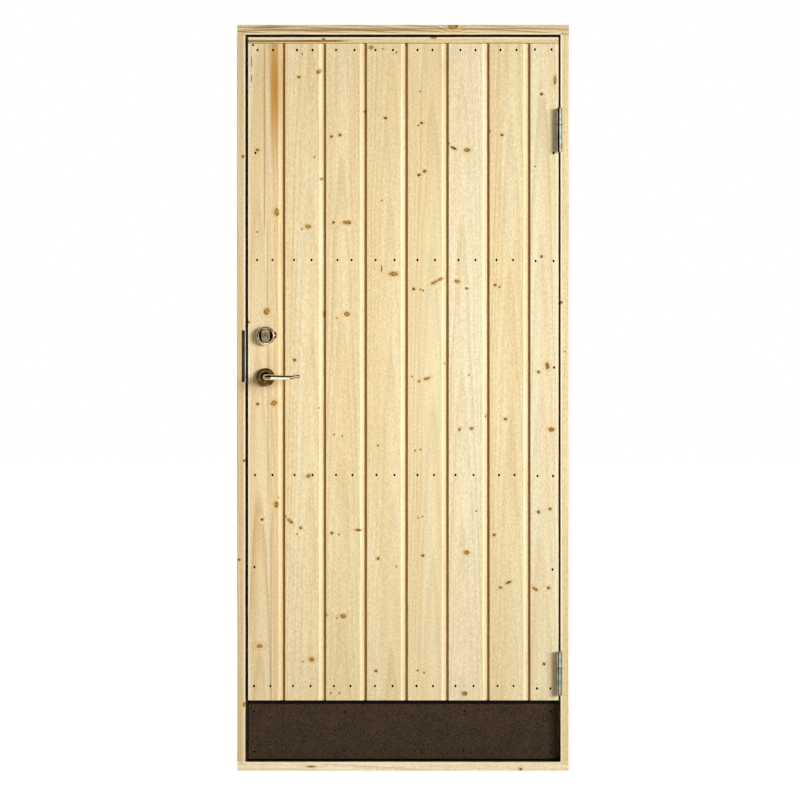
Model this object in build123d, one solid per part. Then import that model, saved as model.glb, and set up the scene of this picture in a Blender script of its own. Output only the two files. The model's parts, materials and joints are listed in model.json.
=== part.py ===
from build123d import *
from math import ceil
import os

# A boarded pine shed door hung in a rebated pine frame. Millimetres, +Z up. Seen from outside, +X is to
# the right and +Y goes into the building. The origin is the centre of the sill's underside.

# Frame
frame_width = 885.0  # over both jambs
frame_height = 1990.0
frame_depth = 92.0
side_face = 23.0  # width of a jamb that shows beside the leaf
head_face = 26.0
sill_face = 25.0
stop_overlap = 19.0  # how far the rebate's stop reaches past the face that shows
arris = 1.5  # rounding of the planed edges that show
fixing_hole = 10.0  # diameter of the frame-screw holes
fixing_ends = 150.0  # outermost screw hole from each end of the frame
fixing_inner = 295.0  # inner screw holes above and below mid-height

# Gaps round the leaf
lock_gap = 6.5
hinge_gap = 5.0
head_gap = 6.5
sill_gap = 5.5
stop_gap = 5.0  # between the leaf's back and the stop

# Leaf
board_thickness = 20.0
board_cover = 109.0  # spacing of the boards
first_board = 98.5  # the board on the lock side, ripped to width
least_board = 30.0  # narrowest board that the hinge side may end with
joint_width = 7.0  # groove that shows between two boards
bevel_width = 12.0  # long bevel down the edge of each board beside the groove
bevel_depth = 4.0
tongue_length = 8.0  # part of the tongue in the next board
tongue_thickness = 6.0
tongue_drop = 8.0  # from the board's face to the tongue
joint_play = 0.3  # clearance of tongues, tenons, pockets and sockets
top_strip_height = 16.0  # strip over the boards' upper ends
strip_gap = 1.2  # shadow line between the boards and the strip
kick_height = 158.0  # bare height of the kick plate below the boards
kick_tuck = 12.0  # height of the plate behind the boards
kick_thickness = 1.5
framing_thickness = 33.0
stile_width = 95.0
rail_height = 95.0
bottom_rail_height = 225.0
upper_rail_over_lock = 200.0  # middle of the rail above the lock cylinder
lower_rail_rise = 759.5  # middle of the rail above the leaf's foot
lock_edge_relief = 2.0  # the framing stands back from the boards on the lock side
tenon_length = 30.0
tenon_thickness = 11.0
tenon_shoulder = 24.0  # above and below each tenon

# Lift-off hinges
upper_hinge_drop = 248.5  # middle of the hinge below the leaf's top
lower_hinge_rise = 230.5  # middle of the hinge above the leaf's foot
hinge_height = 116.0
barrel_diameter = 15.0
barrel_stand_off = 0.5  # from the leaf's face to the barrel
barrel_split = 0.3  # gap between the two barrels
pin_diameter = 8.0
pin_reach = 40.0  # length of the pin in the upper barrel
pin_play = 0.06
pin_chamfer = 1.2
wing_thickness = 2.5
wing_depth = 32.0

# Lock
lock_inset = 47.0  # spindle and cylinder from the leaf's edge
lever_level = 1050.0
cylinder_level = 1161.0
case_height = 165.0
case_length = 78.0
case_thickness = 15.0
forend_height = 235.0
forend_width = 20.0
forend_thickness = 3.0
latch_height = 24.0
latch_thickness = 12.0
latch_bevel = 5.0
latch_rise = 12.0  # middle of the latch above the spindle
dead_bolt_height = 30.0
dead_bolt_thickness = 11.0
dead_bolt_drop = 15.0  # middle of the dead bolt below the cylinder
bolt_length = 28.0
bolt_proud = 1.0  # both bolts are drawn back, with their noses just out of the forend

# Lever handles
spindle_width = 8.0
spindle_hole = 13.0  # round hole in the lock case
rose_diameter = 49.0
rose_height = 10.0
rose_taper = 4.0  # how far the outside rose's side leans in
neck_diameter = 18.5
neck_length = 22.0
neck_play = 0.4
neck_seat = 2.0  # from the door's face to the neck's inner end
handle_hole = 24.0  # bored through the wood for the spindle
lever_diameter = 12.8
lever_stand_out = 52.0  # from the door's face to the middle of the grip
lever_reach = 68.0  # from the spindle to the bend back towards the door
lever_rise = 2.0  # how far the grip climbs in that length
lever_end_lift = 5.0  # how far the end climbs beyond the grip
lever_return = 25.0
lever_return_depth = 16.0  # how far the end comes back towards the door
lever_bend = 13.0  # each bend is cut off by a mitred length
lever_end_bend = 7.0
socket_depth = 20.0

# Lock cylinder and thumb turn
ring_diameter = 53.0
ring_height = 15.0
ring_lip = 44.0  # diameter at the top of the taper
ring_mouth = 40.6
ring_mouth_depth = 9.0
oval_width = 22.0
oval_height = 34.0
oval_set_back = 1.5  # cylinder's face behind the ring's
plug_level = -6.0  # key plug below the middle of the oval
keyway_width = 2.2
keyway_height = 8.5
keyway_depth = 12.0
turn_rose_height = 9.0
turn_stem = 10.0
turn_length = 32.0
turn_width = 11.0
turn_height = 16.0

# Strike plate
strike_height = 138.0
strike_thickness = 3.5
strike_round = 1.2  # rounding of the plate's front edge
strike_depth = 52.0
strike_level = 1106.5
slot_depth = 11.0  # slot behind the plate's front edge
slot_width = 20.0
strike_pocket = 17.0  # depth of the bolts' pockets in the jamb
strike_hole_play = 2.0

# Places that follow from the sizes above
front = -frame_depth / 2
back = frame_depth / 2
outer = frame_width / 2
lock_jamb_face = -outer + side_face
hinge_jamb_face = outer - side_face
leaf_left = lock_jamb_face + lock_gap
leaf_right = hinge_jamb_face - hinge_gap
leaf_bottom = sill_face + sill_gap
leaf_top = frame_height - head_face - head_gap
board_count = 1 + ceil((leaf_right - leaf_left - first_board - least_board) / board_cover)
board_back = front + board_thickness
leaf_back = board_back + framing_thickness
rebate_back = leaf_back + stop_gap
board_bottom = leaf_bottom + kick_height
board_top = leaf_top - top_strip_height - strip_gap
stile_left = leaf_left + lock_edge_relief
rail_left = stile_left + stile_width
rail_right = leaf_right - stile_width
lock_depth = board_back + framing_thickness / 2
case_front = lock_depth - case_thickness / 2
case_back = lock_depth + case_thickness / 2
case_level = (lever_level + cylinder_level) / 2
lock_x = leaf_left + lock_inset
hinge_x = leaf_right + hinge_gap / 2
hinge_y = front - barrel_stand_off - barrel_diameter / 2
hinge_levels = {"upper": leaf_top - upper_hinge_drop, "lower": leaf_bottom + lower_hinge_rise}
latch_level = lever_level + latch_rise
dead_bolt_level = cylinder_level - dead_bolt_drop


def block(x0, x1, y0, y1, z0, z1):
    """A box between two corners."""
    size = (x1 - x0, y1 - y0, z1 - z0)
    return Pos((x0 + x1) / 2, (y0 + y1) / 2, (z0 + z1) / 2) * Box(*size)


def rod_y(x, z, y0, y1, diameter):
    """A round bar along Y."""
    return Pos(x, (y0 + y1) / 2, z) * Rot(90, 0, 0) * Cylinder(diameter / 2, y1 - y0)


def rod_x(y, z, x0, x1, diameter):
    """A round bar along X."""
    return Pos((x0 + x1) / 2, y, z) * Rot(0, 90, 0) * Cylinder(diameter / 2, x1 - x0)


def rod_z(x, y, z0, z1, diameter):
    """A round bar along Z."""
    return Pos(x, y, (z0 + z1) / 2) * Cylinder(diameter / 2, z1 - z0)


def turned_y(x, z, profile):
    """A turned piece on an axis along Y, from an outline of (radius, y) points in the XY plane."""
    return Pos(x, 0, z) * revolve(make_face(profile), Axis.Y)


def eased(piece, axis):
    """The piece with the long edges of its front face rounded."""
    edges = piece.edges().filter_by(axis).group_by(Axis.Y)[0]
    return fillet(edges, arris)


# Frame members


def rail_of_frame(level, thickness_front, direction):
    """Head or sill: a rebated section the full width of the frame, with its stop towards the opening."""
    lip = level + direction * thickness_front
    stop = lip + direction * stop_overlap
    body = [(front, level), (back, level), (back, stop)]
    rebate = [(rebate_back, stop), (rebate_back, lip), (front, lip)]
    section = Plane.YZ.offset(-outer) * make_face(Polyline(*body, *rebate, close=True))
    return eased(extrude(section, frame_width, dir=(1, 0, 0)), Axis.X)


def jamb(outside, inward):
    """A rebated jamb between sill and head, with frame-screw holes through its stop."""
    face = outside + inward * side_face
    stop = face + inward * stop_overlap
    lip_ends = (sill_face, frame_height - head_face)
    stop_ends = (lip_ends[0] + stop_overlap, lip_ends[1] - stop_overlap)
    lip = block(min(outside, face), max(outside, face), front, rebate_back, *lip_ends)
    body = block(min(outside, stop), max(outside, stop), rebate_back, back, *stop_ends)
    post = eased(lip, Axis.Z) + body
    middle = frame_height / 2
    hole_levels = (fixing_ends, middle - fixing_inner, middle + fixing_inner, frame_height - fixing_ends)
    for level in hole_levels:
        post -= rod_x((rebate_back + back) / 2, level, min(outside, stop), max(outside, stop), fixing_hole)
    return post


def hinge_pocket(x0, x1):
    """Recesses for the wings of both hinges in an edge from x0 to x1."""
    return [
        block(x0, x1, front, front + wing_depth, level - hinge_height / 2, level + hinge_height / 2)
        for level in hinge_levels.values()
    ]


def bolt_block(x0, x1, level, height, thickness, play=0.0):
    """A bolt, or with play the space round one."""
    half = thickness / 2 + play
    rise = height / 2 + play
    return block(x0, x1, lock_depth - half, lock_depth + half, level - rise, level + rise)


def both_bolts(x0, x1, play):
    """The spaces that both bolts need between x0 and x1."""
    return [
        bolt_block(x0, x1, latch_level, latch_height, latch_thickness, play),
        bolt_block(x0, x1, dead_bolt_level, dead_bolt_height, dead_bolt_thickness, play),
    ]


def lock_jamb():
    """The left jamb, cut for the strike plate, the slot behind its front edge and the bolts' pockets."""
    low = strike_level - strike_height / 2
    high = strike_level + strike_height / 2
    post = jamb(-outer, 1)
    post -= block(lock_jamb_face - strike_thickness, lock_jamb_face, front, front + strike_depth, low, high)
    post -= block(lock_jamb_face - slot_depth, lock_jamb_face, front, front + slot_width, low, high)
    post -= both_bolts(lock_jamb_face - strike_pocket, lock_jamb_face, strike_hole_play)
    return post


def hinge_jamb():
    """The right jamb, cut for the hinges' wings."""
    return jamb(outer, -1) - hinge_pocket(hinge_jamb_face, hinge_jamb_face + wing_thickness)


def strike_plate():
    """A flat plate let into the lock jamb, with a window for each bolt."""
    low = strike_level - strike_height / 2
    high = strike_level + strike_height / 2
    plate = block(lock_jamb_face - strike_thickness, lock_jamb_face, front, front + strike_depth, low, high)
    plate = fillet(plate.edges().filter_by(Axis.Z).group_by(Axis.Y)[0], strike_round)
    return plate - both_bolts(lock_jamb_face - strike_thickness, lock_jamb_face, strike_hole_play)


# Leaf


def board_edges(index):
    """Left and right edge of a board's face, counted from the lock side."""
    left = leaf_left if index == 0 else leaf_left + first_board + (index - 1) * board_cover
    right = leaf_right if index == board_count - 1 else leaf_left + first_board + index * board_cover
    return left, right


def board(index):
    """One tongued and grooved board, bevelled beside the groove that its tongue leaves open."""
    left, right = board_edges(index)
    tongue_front = front + tongue_drop
    tongue_back = tongue_front + tongue_thickness
    ripped_left = index == 0
    ripped_right = index == board_count - 1
    left_edge = left if ripped_left else left + joint_play
    shoulder = right - joint_width
    points = [(left_edge, front)]
    if ripped_right:
        points += [(right, front), (right, board_back)]
    else:
        points += [
            (shoulder - bevel_width, front),
            (shoulder, front + bevel_depth),
            (shoulder, tongue_front),
            (right + tongue_length, tongue_front),
            (right + tongue_length, tongue_back),
            (right, tongue_back),
            (right, board_back),
        ]
    points.append((left_edge, board_back))
    if not ripped_left:
        groove_floor = left_edge + tongue_length + joint_play
        points += [
            (left_edge, tongue_back + joint_play),
            (groove_floor, tongue_back + joint_play),
            (groove_floor, tongue_front - joint_play),
            (left_edge, tongue_front - joint_play),
        ]
    section = Plane.XY.offset(board_bottom) * make_face(Polyline(*points, close=True))
    plank = extrude(section, board_top - board_bottom)
    tuck = kick_thickness + joint_play
    reach = right + tongue_length
    tuck_top = board_bottom + kick_tuck + joint_play
    return plank - block(left, reach, board_back - tuck, board_back, board_bottom, tuck_top)


def lock_board():
    """The first board, bored for the spindle and the cylinder."""
    plank = board(0) - rod_y(lock_x, lever_level, front, board_back, handle_hole)
    return plank - oval_bar(front, board_back, joint_play)


def hinge_board():
    """The last board, let in for the hinges' wings."""
    return board(board_count - 1) - hinge_pocket(leaf_right - wing_thickness, leaf_right)


def top_strip():
    """The strip that covers the boards' upper ends."""
    foot = leaf_top - top_strip_height
    return eased(block(leaf_left, leaf_right, front, board_back, foot, leaf_top), Axis.X)


def kick_plate():
    """Flat coated sheet on the foot of the leaf, with its upper edge behind the boards."""
    top = board_bottom + kick_tuck
    return block(leaf_left, leaf_right, board_back - kick_thickness, board_back, leaf_bottom, top)


def rail_levels():
    """Lower and upper edge of each rail of the framing, by name."""
    half = rail_height / 2
    lower = leaf_bottom + lower_rail_rise
    upper = cylinder_level + upper_rail_over_lock
    return {
        "bottom_rail": (leaf_bottom, leaf_bottom + bottom_rail_height),
        "lower_rail": (lower - half, lower + half),
        "upper_rail": (upper - half, upper + half),
        "top_rail": (leaf_top - rail_height, leaf_top),
    }


def tenon(x0, x1, low, high, play=0.0):
    """A tenon on a rail's end, or with play the mortise for it."""
    half = tenon_thickness / 2 + play
    foot = low + tenon_shoulder - play
    top = high - tenon_shoulder + play
    return block(x0, x1, lock_depth - half, lock_depth + half, foot, top)


def framing_rail(low, high):
    """A rail between the stiles, tenoned into both."""
    bar = block(rail_left, rail_right, board_back, leaf_back, low, high)
    return bar + tenon(rail_left - tenon_length, rail_right + tenon_length, low, high)


def framing_stile(x0, x1, inner, inward):
    """A stile the height of the leaf, mortised for the rails on its inner edge."""
    deep = inner - inward * (tenon_length + joint_play)
    bar = block(x0, x1, board_back, leaf_back, leaf_bottom, leaf_top)
    for low, high in rail_levels().values():
        bar -= tenon(min(deep, inner), max(deep, inner), low, high, joint_play)
    return bar


def lock_body(play=0.0):
    """The lock's forend and case, or with play the space that they need."""
    edge = stile_left + forend_thickness
    half = case_thickness / 2 + play
    rise = case_height / 2 + play
    width = forend_width / 2
    reach = forend_height / 2
    forend = block(
        stile_left, edge, lock_depth - width, lock_depth + width, case_level - reach, case_level + reach
    )
    end = edge + case_length + play
    case = block(edge, end, lock_depth - half, lock_depth + half, case_level - rise, case_level + rise)
    return forend + case


def lock_stile():
    """The left stile, mortised for the lock and bored for the spindle, the cylinder and the thumb turn."""
    stile = framing_stile(stile_left, rail_left, rail_left, 1) - lock_body(joint_play)
    stile -= rod_y(lock_x, lever_level, board_back, leaf_back, handle_hole)
    stile -= rod_y(lock_x, cylinder_level, case_back, leaf_back, turn_stem + 2 * joint_play)
    return stile - oval_bar(board_back, case_front, joint_play)


def hinge_stile():
    """The right stile, let in for the hinges' wings."""
    stile = framing_stile(rail_right, leaf_right, rail_right, -1)
    return stile - hinge_pocket(leaf_right - wing_thickness, leaf_right)


# Hinges


def hinge_wing(x0, x1, level, low, high):
    """A hinge's wing in its recess, with the web to the barrel between two heights."""
    half = hinge_height / 2
    wing = block(x0, x1, front, front + wing_depth, level - half, level + half)
    return wing + block(x0, x1, hinge_y, front, low, high)


def hinge_leaf_half(level):
    """The upper barrel and the wing on the leaf: it lifts off the pin."""
    low = level + barrel_split / 2
    high = level + hinge_height / 2
    barrel = rod_z(hinge_x, hinge_y, low, high, barrel_diameter)
    half = barrel + hinge_wing(leaf_right - wing_thickness, leaf_right, level, low, high)
    return half - rod_z(hinge_x, hinge_y, low, level + pin_reach + joint_play, pin_diameter + 2 * pin_play)


def hinge_frame_half(level):
    """The lower barrel, its pin and the wing on the jamb."""
    low = level - hinge_height / 2
    high = level - barrel_split / 2
    barrel = rod_z(hinge_x, hinge_y, low, high, barrel_diameter)
    pin = rod_z(hinge_x, hinge_y, low, level + pin_reach, pin_diameter)
    pin = chamfer(pin.edges().filter_by(GeomType.CIRCLE).sort_by(Axis.Z)[-1], pin_chamfer)
    wing = hinge_wing(hinge_jamb_face, hinge_jamb_face + wing_thickness, level, low, high)
    return barrel + wing + pin


# Lock


def lock_case():
    """The mortise lock: forend and case in one, with channels for the bolts and the spindle's hole."""
    lock = lock_body() - both_bolts(stile_left, stile_left + bolt_length, joint_play)
    return lock - rod_y(lock_x, lever_level, case_front, case_back, spindle_hole)


def latch_bolt():
    """The sprung latch, with its nose bevelled towards the stop."""
    nose = stile_left - bolt_proud
    bolt = bolt_block(nose, stile_left + bolt_length, latch_level, latch_height, latch_thickness)
    rim = bolt.edges().filter_by(Axis.Z).group_by(Axis.X)[0].sort_by(Axis.Y)[-1]
    return chamfer(rim, latch_bevel)


def dead_bolt():
    """The square bolt that the key throws."""
    nose = stile_left - bolt_proud
    end = stile_left + bolt_length
    return bolt_block(nose, end, dead_bolt_level, dead_bolt_height, dead_bolt_thickness)


# Lever handles


def turned_rose(level, face, outward, diameter, height, hole, taper=0.0):
    """A round rose on the face at y, with a hole through its middle and a side that may lean in."""
    top = face + outward * height
    rim = diameter / 2
    bore = hole / 2
    outline = Polyline((bore, face), (rim, face), (rim - taper, top), (bore, top), close=True)
    return turned_y(lock_x, level, outline)


def lever_rose(face, outward, taper=0.0):
    """The rose that carries a lever's neck."""
    bearing = neck_diameter + 2 * neck_play
    return turned_rose(lever_level, face, outward, rose_diameter, rose_height, bearing, taper)


def square_bar(y0, y1, width):
    """A square bar along Y at the spindle's place."""
    half = width / 2
    return block(lock_x - half, lock_x + half, y0, y1, lever_level - half, lever_level + half)


def mitred_bar(points, diameter):
    """A round bar along a line of points, mitred at each corner."""
    runs = [(end - start).normalized() for start, end in zip(points, points[1:])]
    lengths = []
    for index, along in enumerate(runs):
        start, end = points[index], points[index + 1]
        middle = Plane(origin=(start + end) / 2, z_dir=along)
        length = middle * Cylinder(diameter / 2, (end - start).length + 2 * diameter)
        into = along if index == 0 else runs[index - 1] + along
        out_of = along if index == len(runs) - 1 else along + runs[index + 1]
        length = split(length, Plane(origin=start, z_dir=into), keep=Keep.TOP)
        lengths.append(split(length, Plane(origin=end, z_dir=out_of), keep=Keep.BOTTOM))
    return lengths[0] + lengths[1:]


def lever_bar(face, outward):
    """A lever's bar: out of the rose, along a grip that climbs a little, and up and back to the door."""
    grip = face + outward * lever_stand_out
    climb = lever_rise / lever_reach
    bent = lever_end_bend / lever_return

    def at(along, depth, lift=0.0):
        return Vector(lock_x + along, grip - outward * depth, lever_level + along * climb + lift)

    neck = [at(0, lever_stand_out - neck_seat), at(0, lever_bend), at(lever_bend, 0)]
    end = [
        at(lever_reach - lever_end_bend, 0),
        at(lever_reach + lever_end_bend, lever_return_depth * bent, lever_end_lift * bent),
        at(lever_reach + lever_return, lever_return_depth, lever_end_lift),
    ]
    return mitred_bar(neck + end, lever_diameter)


def lever(face, outward):
    """A lever with its neck in the rose and a square socket for the spindle."""
    start = face + outward * neck_seat
    neck_end = start + outward * neck_length
    socket_end = start + outward * socket_depth
    neck = rod_y(lock_x, lever_level, min(start, neck_end), max(start, neck_end), neck_diameter)
    socket = square_bar(min(start, socket_end), max(start, socket_end), spindle_width + joint_play)
    return lever_bar(face, outward) + neck - socket


def spindle():
    """The square bar that joins both levers through the lock."""
    reach = neck_seat + socket_depth - joint_play
    return square_bar(front - reach, leaf_back + reach, spindle_width)


# Cylinder and thumb turn


def oval_face(play=0.0):
    """The cylinder's oval, drawn in X and Z about its middle."""
    return SlotOverall(oval_height + 2 * play, oval_width + 2 * play, rotation=90)


def oval_bar(y0, y1, play=0.0):
    """An oval bar along Y at the cylinder's place."""
    section = Plane(origin=(lock_x, y1, cylinder_level), x_dir=(1, 0, 0), z_dir=(0, -1, 0)) * oval_face(play)
    return extrude(section, y1 - y0)


def cylinder_ring():
    """The raised ring round the lock cylinder: a tapered collar with a sunk mouth."""
    rim = ring_diameter / 2
    lip = ring_lip / 2
    mouth = ring_mouth / 2
    top = front - ring_height
    floor = top + ring_mouth_depth
    collar = [(0, front), (rim, front), (lip, top)]
    hollow = [(mouth, top), (mouth, floor), (0, floor)]
    ring = turned_y(lock_x, cylinder_level, Polyline(*collar, *hollow, close=True))
    return ring - oval_bar(top, front, joint_play / 2)


def lock_cylinder():
    """The oval cylinder, cut with a keyway at the middle of its key plug."""
    face = front - ring_height + oval_set_back
    key_level = cylinder_level + plug_level
    half = keyway_width / 2
    rise = keyway_height / 2
    slot_end = face + keyway_depth
    keyway = block(lock_x - half, lock_x + half, face, slot_end, key_level - rise, key_level + rise)
    return oval_bar(face, case_front) - keyway


def turn_rose():
    """The round rose of the thumb turn, inside."""
    bearing = turn_stem + 2 * joint_play
    return turned_rose(cylinder_level, leaf_back, 1, ring_diameter, turn_rose_height, bearing)


def thumb_turn():
    """The thumb turn: a stem from the lock case and an upright wing to turn it by."""
    top = leaf_back + turn_rose_height
    foot = top + joint_play
    stem = rod_y(lock_x, cylinder_level, case_back, foot, turn_stem)
    plane = Plane(origin=(lock_x, foot, cylinder_level), x_dir=(1, 0, 0), z_dir=(0, 1, 0))
    return stem + extrude(plane * SlotOverall(turn_length, turn_width, rotation=90), turn_height)


# Nodes

pieces = {
    "head": rail_of_frame(frame_height, head_face, -1),
    "sill": rail_of_frame(0.0, sill_face, 1),
    "lock_jamb": lock_jamb(),
    "hinge_jamb": hinge_jamb(),
    "strike_plate": strike_plate(),
    "lock_stile": lock_stile(),
    "hinge_stile": hinge_stile(),
    "board_1": lock_board(),
    f"board_{board_count}": hinge_board(),
    "top_strip": top_strip(),
    "kick_plate": kick_plate(),
    "lock_case": lock_case(),
    "latch_bolt": latch_bolt(),
    "dead_bolt": dead_bolt(),
    "outer_rose": lever_rose(front, -1, rose_taper),
    "inner_rose": lever_rose(leaf_back, 1),
    "outer_lever": lever(front, -1),
    "inner_lever": lever(leaf_back, 1),
    "spindle": spindle(),
    "cylinder_ring": cylinder_ring(),
    "lock_cylinder": lock_cylinder(),
    "turn_rose": turn_rose(),
    "thumb_turn": thumb_turn(),
}
for name, (low, high) in rail_levels().items():
    pieces[name] = framing_rail(low, high)
for index in range(1, board_count - 1):
    pieces[f"board_{index + 1}"] = board(index)
for side, level in hinge_levels.items():
    pieces[f"{side}_hinge_leaf_half"] = hinge_leaf_half(level)
    pieces[f"{side}_hinge_frame_half"] = hinge_frame_half(level)

os.makedirs("parts", exist_ok=True)
for name, piece in pieces.items():
    export_step(piece, f"parts/{name}.step")
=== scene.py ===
"""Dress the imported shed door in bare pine, coated sheet, zinc and nickel, and stage it as photographed.

The door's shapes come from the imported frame. This script gives each of them a finish, replaces the turned
and bent hardware by smooth surfaces, adds the nails, screws and seal, and sets up a plain white studio with
the camera square on to the door.
"""

from __future__ import annotations

import json
import logging
import math
from dataclasses import dataclass
from enum import Enum

import bpy
import numpy as np
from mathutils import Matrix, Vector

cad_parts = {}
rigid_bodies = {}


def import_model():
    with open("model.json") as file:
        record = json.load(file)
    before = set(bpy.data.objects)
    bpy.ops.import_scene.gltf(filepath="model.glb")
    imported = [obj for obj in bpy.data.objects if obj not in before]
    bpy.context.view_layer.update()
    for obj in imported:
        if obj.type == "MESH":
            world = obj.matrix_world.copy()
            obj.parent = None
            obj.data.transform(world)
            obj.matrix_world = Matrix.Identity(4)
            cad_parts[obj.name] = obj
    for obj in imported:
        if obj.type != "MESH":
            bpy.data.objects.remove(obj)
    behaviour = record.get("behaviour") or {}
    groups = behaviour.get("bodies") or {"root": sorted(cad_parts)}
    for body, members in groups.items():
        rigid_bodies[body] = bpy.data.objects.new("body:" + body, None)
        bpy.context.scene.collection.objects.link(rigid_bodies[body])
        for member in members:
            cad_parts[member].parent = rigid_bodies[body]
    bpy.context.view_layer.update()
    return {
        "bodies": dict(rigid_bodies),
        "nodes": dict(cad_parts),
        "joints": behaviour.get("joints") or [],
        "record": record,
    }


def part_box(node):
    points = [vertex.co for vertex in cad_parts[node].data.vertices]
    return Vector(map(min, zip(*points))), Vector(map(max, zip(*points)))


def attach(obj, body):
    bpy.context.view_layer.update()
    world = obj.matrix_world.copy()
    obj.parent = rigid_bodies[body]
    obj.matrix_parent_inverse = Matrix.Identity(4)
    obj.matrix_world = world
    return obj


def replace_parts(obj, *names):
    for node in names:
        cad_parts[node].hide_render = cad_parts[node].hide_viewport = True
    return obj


LOG = logging.getLogger("shed_door")
MM = 0.001
Colour = tuple[float, float, float, float]
Socket = bpy.types.NodeSocket
Tree = bpy.types.NodeTree
Node = bpy.types.Node
Material = bpy.types.Material


def linear(code: str) -> Colour:
    """Turn an sRGB hex colour into linear light.

    Args:
        code: A colour such as "#E8D2A4".

    Returns:
        Red, green, blue and alpha, each from 0 to 1.
    """
    parts = [int(code[i : i + 2], 16) / 255 for i in (1, 3, 5)]
    light = [p / 12.92 if p <= 0.04045 else ((p + 0.055) / 1.055) ** 2.4 for p in parts]
    return light[0], light[1], light[2], 1.0


def add(tree: Tree, kind: str, inputs: dict | None = None, **settings) -> Node:
    """Add a node with its settings, values and links.

    Args:
        tree: The node tree that gets the node.
        kind: The node's type name.
        inputs: Socket name or number to a value, a socket, or a node whose first output is meant.
        settings: Properties of the node itself.

    Returns:
        The new node.
    """
    node = tree.nodes.new(kind)
    for name, value in settings.items():
        setattr(node, name, value)
    for key, value in (inputs or {}).items():
        socket = node.inputs[key]
        if isinstance(value, bpy.types.Node):
            tree.links.new(value.outputs[0], socket)
        elif isinstance(value, bpy.types.NodeSocket):
            tree.links.new(value, socket)
        else:
            socket.default_value = value
    return node


def fade(tree: Tree, value: Node | Socket, start: float, end: float, first: float, last: float) -> Node:
    """Pass smoothly from one number to another as a value goes from start to end.

    Args:
        tree: The node tree.
        value: The value that decides.
        start: Value at which the first number holds.
        end: Value at which the last number holds.
        first: The first number.
        last: The last number.

    Returns:
        The node that gives the number.
    """
    ends = {0: value, 1: start, 2: end, 3: first, 4: last}
    return add(tree, "ShaderNodeMapRange", ends, interpolation_type="SMOOTHSTEP")


def blend(
    tree: Tree, share: Node | Socket | float, under: Socket | Colour, over: Socket | Colour, how: str = "MIX"
) -> Socket:
    """Lay one colour over another.

    Args:
        tree: The node tree.
        share: How much of the upper colour shows, from 0 to 1.
        under: The lower colour.
        over: The upper colour.
        how: The blend mode.

    Returns:
        The blended colour.
    """
    node = add(tree, "ShaderNodeMix", {0: share, 6: under, 7: over}, data_type="RGBA", blend_type=how)
    return node.outputs[2]


def new_tree(name: str) -> tuple[Material, Tree, Socket]:
    """Start a material with an empty node tree.

    Args:
        name: The material's name.

    Returns:
        The material, its node tree and its Object coordinates.
    """
    made = bpy.data.materials.new(name)
    made.use_nodes = True
    made.node_tree.nodes.clear()
    place = add(made.node_tree, "ShaderNodeTexCoord").outputs["Object"]
    return made, made.node_tree, place


@dataclass(frozen=True)
class Picture:
    """How the photograph's 800 by 800 frame lies on the door's front face."""

    middle_x: float = 403.1
    sill_y: float = 771.0
    pitch: float = 2.667 * MM

    def x(self, column: float) -> float:
        """Place a column of the picture on the X axis."""
        return (column - self.middle_x) * self.pitch

    def z(self, row: float) -> float:
        """Place a row of the picture on the Z axis."""
        return (self.sill_y - row) * self.pitch


PICTURE = Picture()

# Painted highlight for edges beside the gaps that catch the light, and painted shade for the dark gap round the
# leaf and its rebate.
PAINTED_EDGE_HIGHLIGHT = "#FFF6DC"
PAINTED_GAP_SHADE = "#2A1E12"


class Grain(Enum):
    """The way that a piece's grain runs."""

    UPRIGHT = "upright"
    LEVEL = "level"


class KnotKind(Enum):
    """A knot by how it looks: default half width and half height in millimetres."""

    PIN = (2.0, 2.1)
    DEAD = (3.8, 3.4)
    SOUND = (7.5, 5.5)


@dataclass(frozen=True)
class Knot:
    """A knot placed on the picture, with its half sizes in millimetres and its turn in degrees."""

    column: float
    row: float
    kind: KnotKind
    wide: float | None = None
    tall: float | None = None
    turn: float = 0.0


def knot_group(kind: KnotKind, *places: tuple[float, ...]) -> tuple[Knot, ...]:
    """Make knots of one kind.

    Args:
        kind: The knots' kind.
        places: Column and row of each knot, and its half sizes and turn where they are its own.

    Returns:
        The knots, in the order given.
    """
    return tuple(Knot(column, row, kind, *sizes) for column, row, *sizes in places)


@dataclass(frozen=True)
class Streak:
    """A band along the grain, placed on the picture: its row or column, its two ends, and its width.

    Width and the length over which its ends fade are in millimetres.
    """

    place: float
    start: float
    end: float
    width: float
    strength: float
    colour: str = "#8A5A24"
    ends: float = 30.0


@dataclass(frozen=True)
class Rebate:
    """Where a frame member's rebate lies, in metres: its place across the grain, the way in, and its depths."""

    place: float
    inside: int
    front: float
    stop: float


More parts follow.
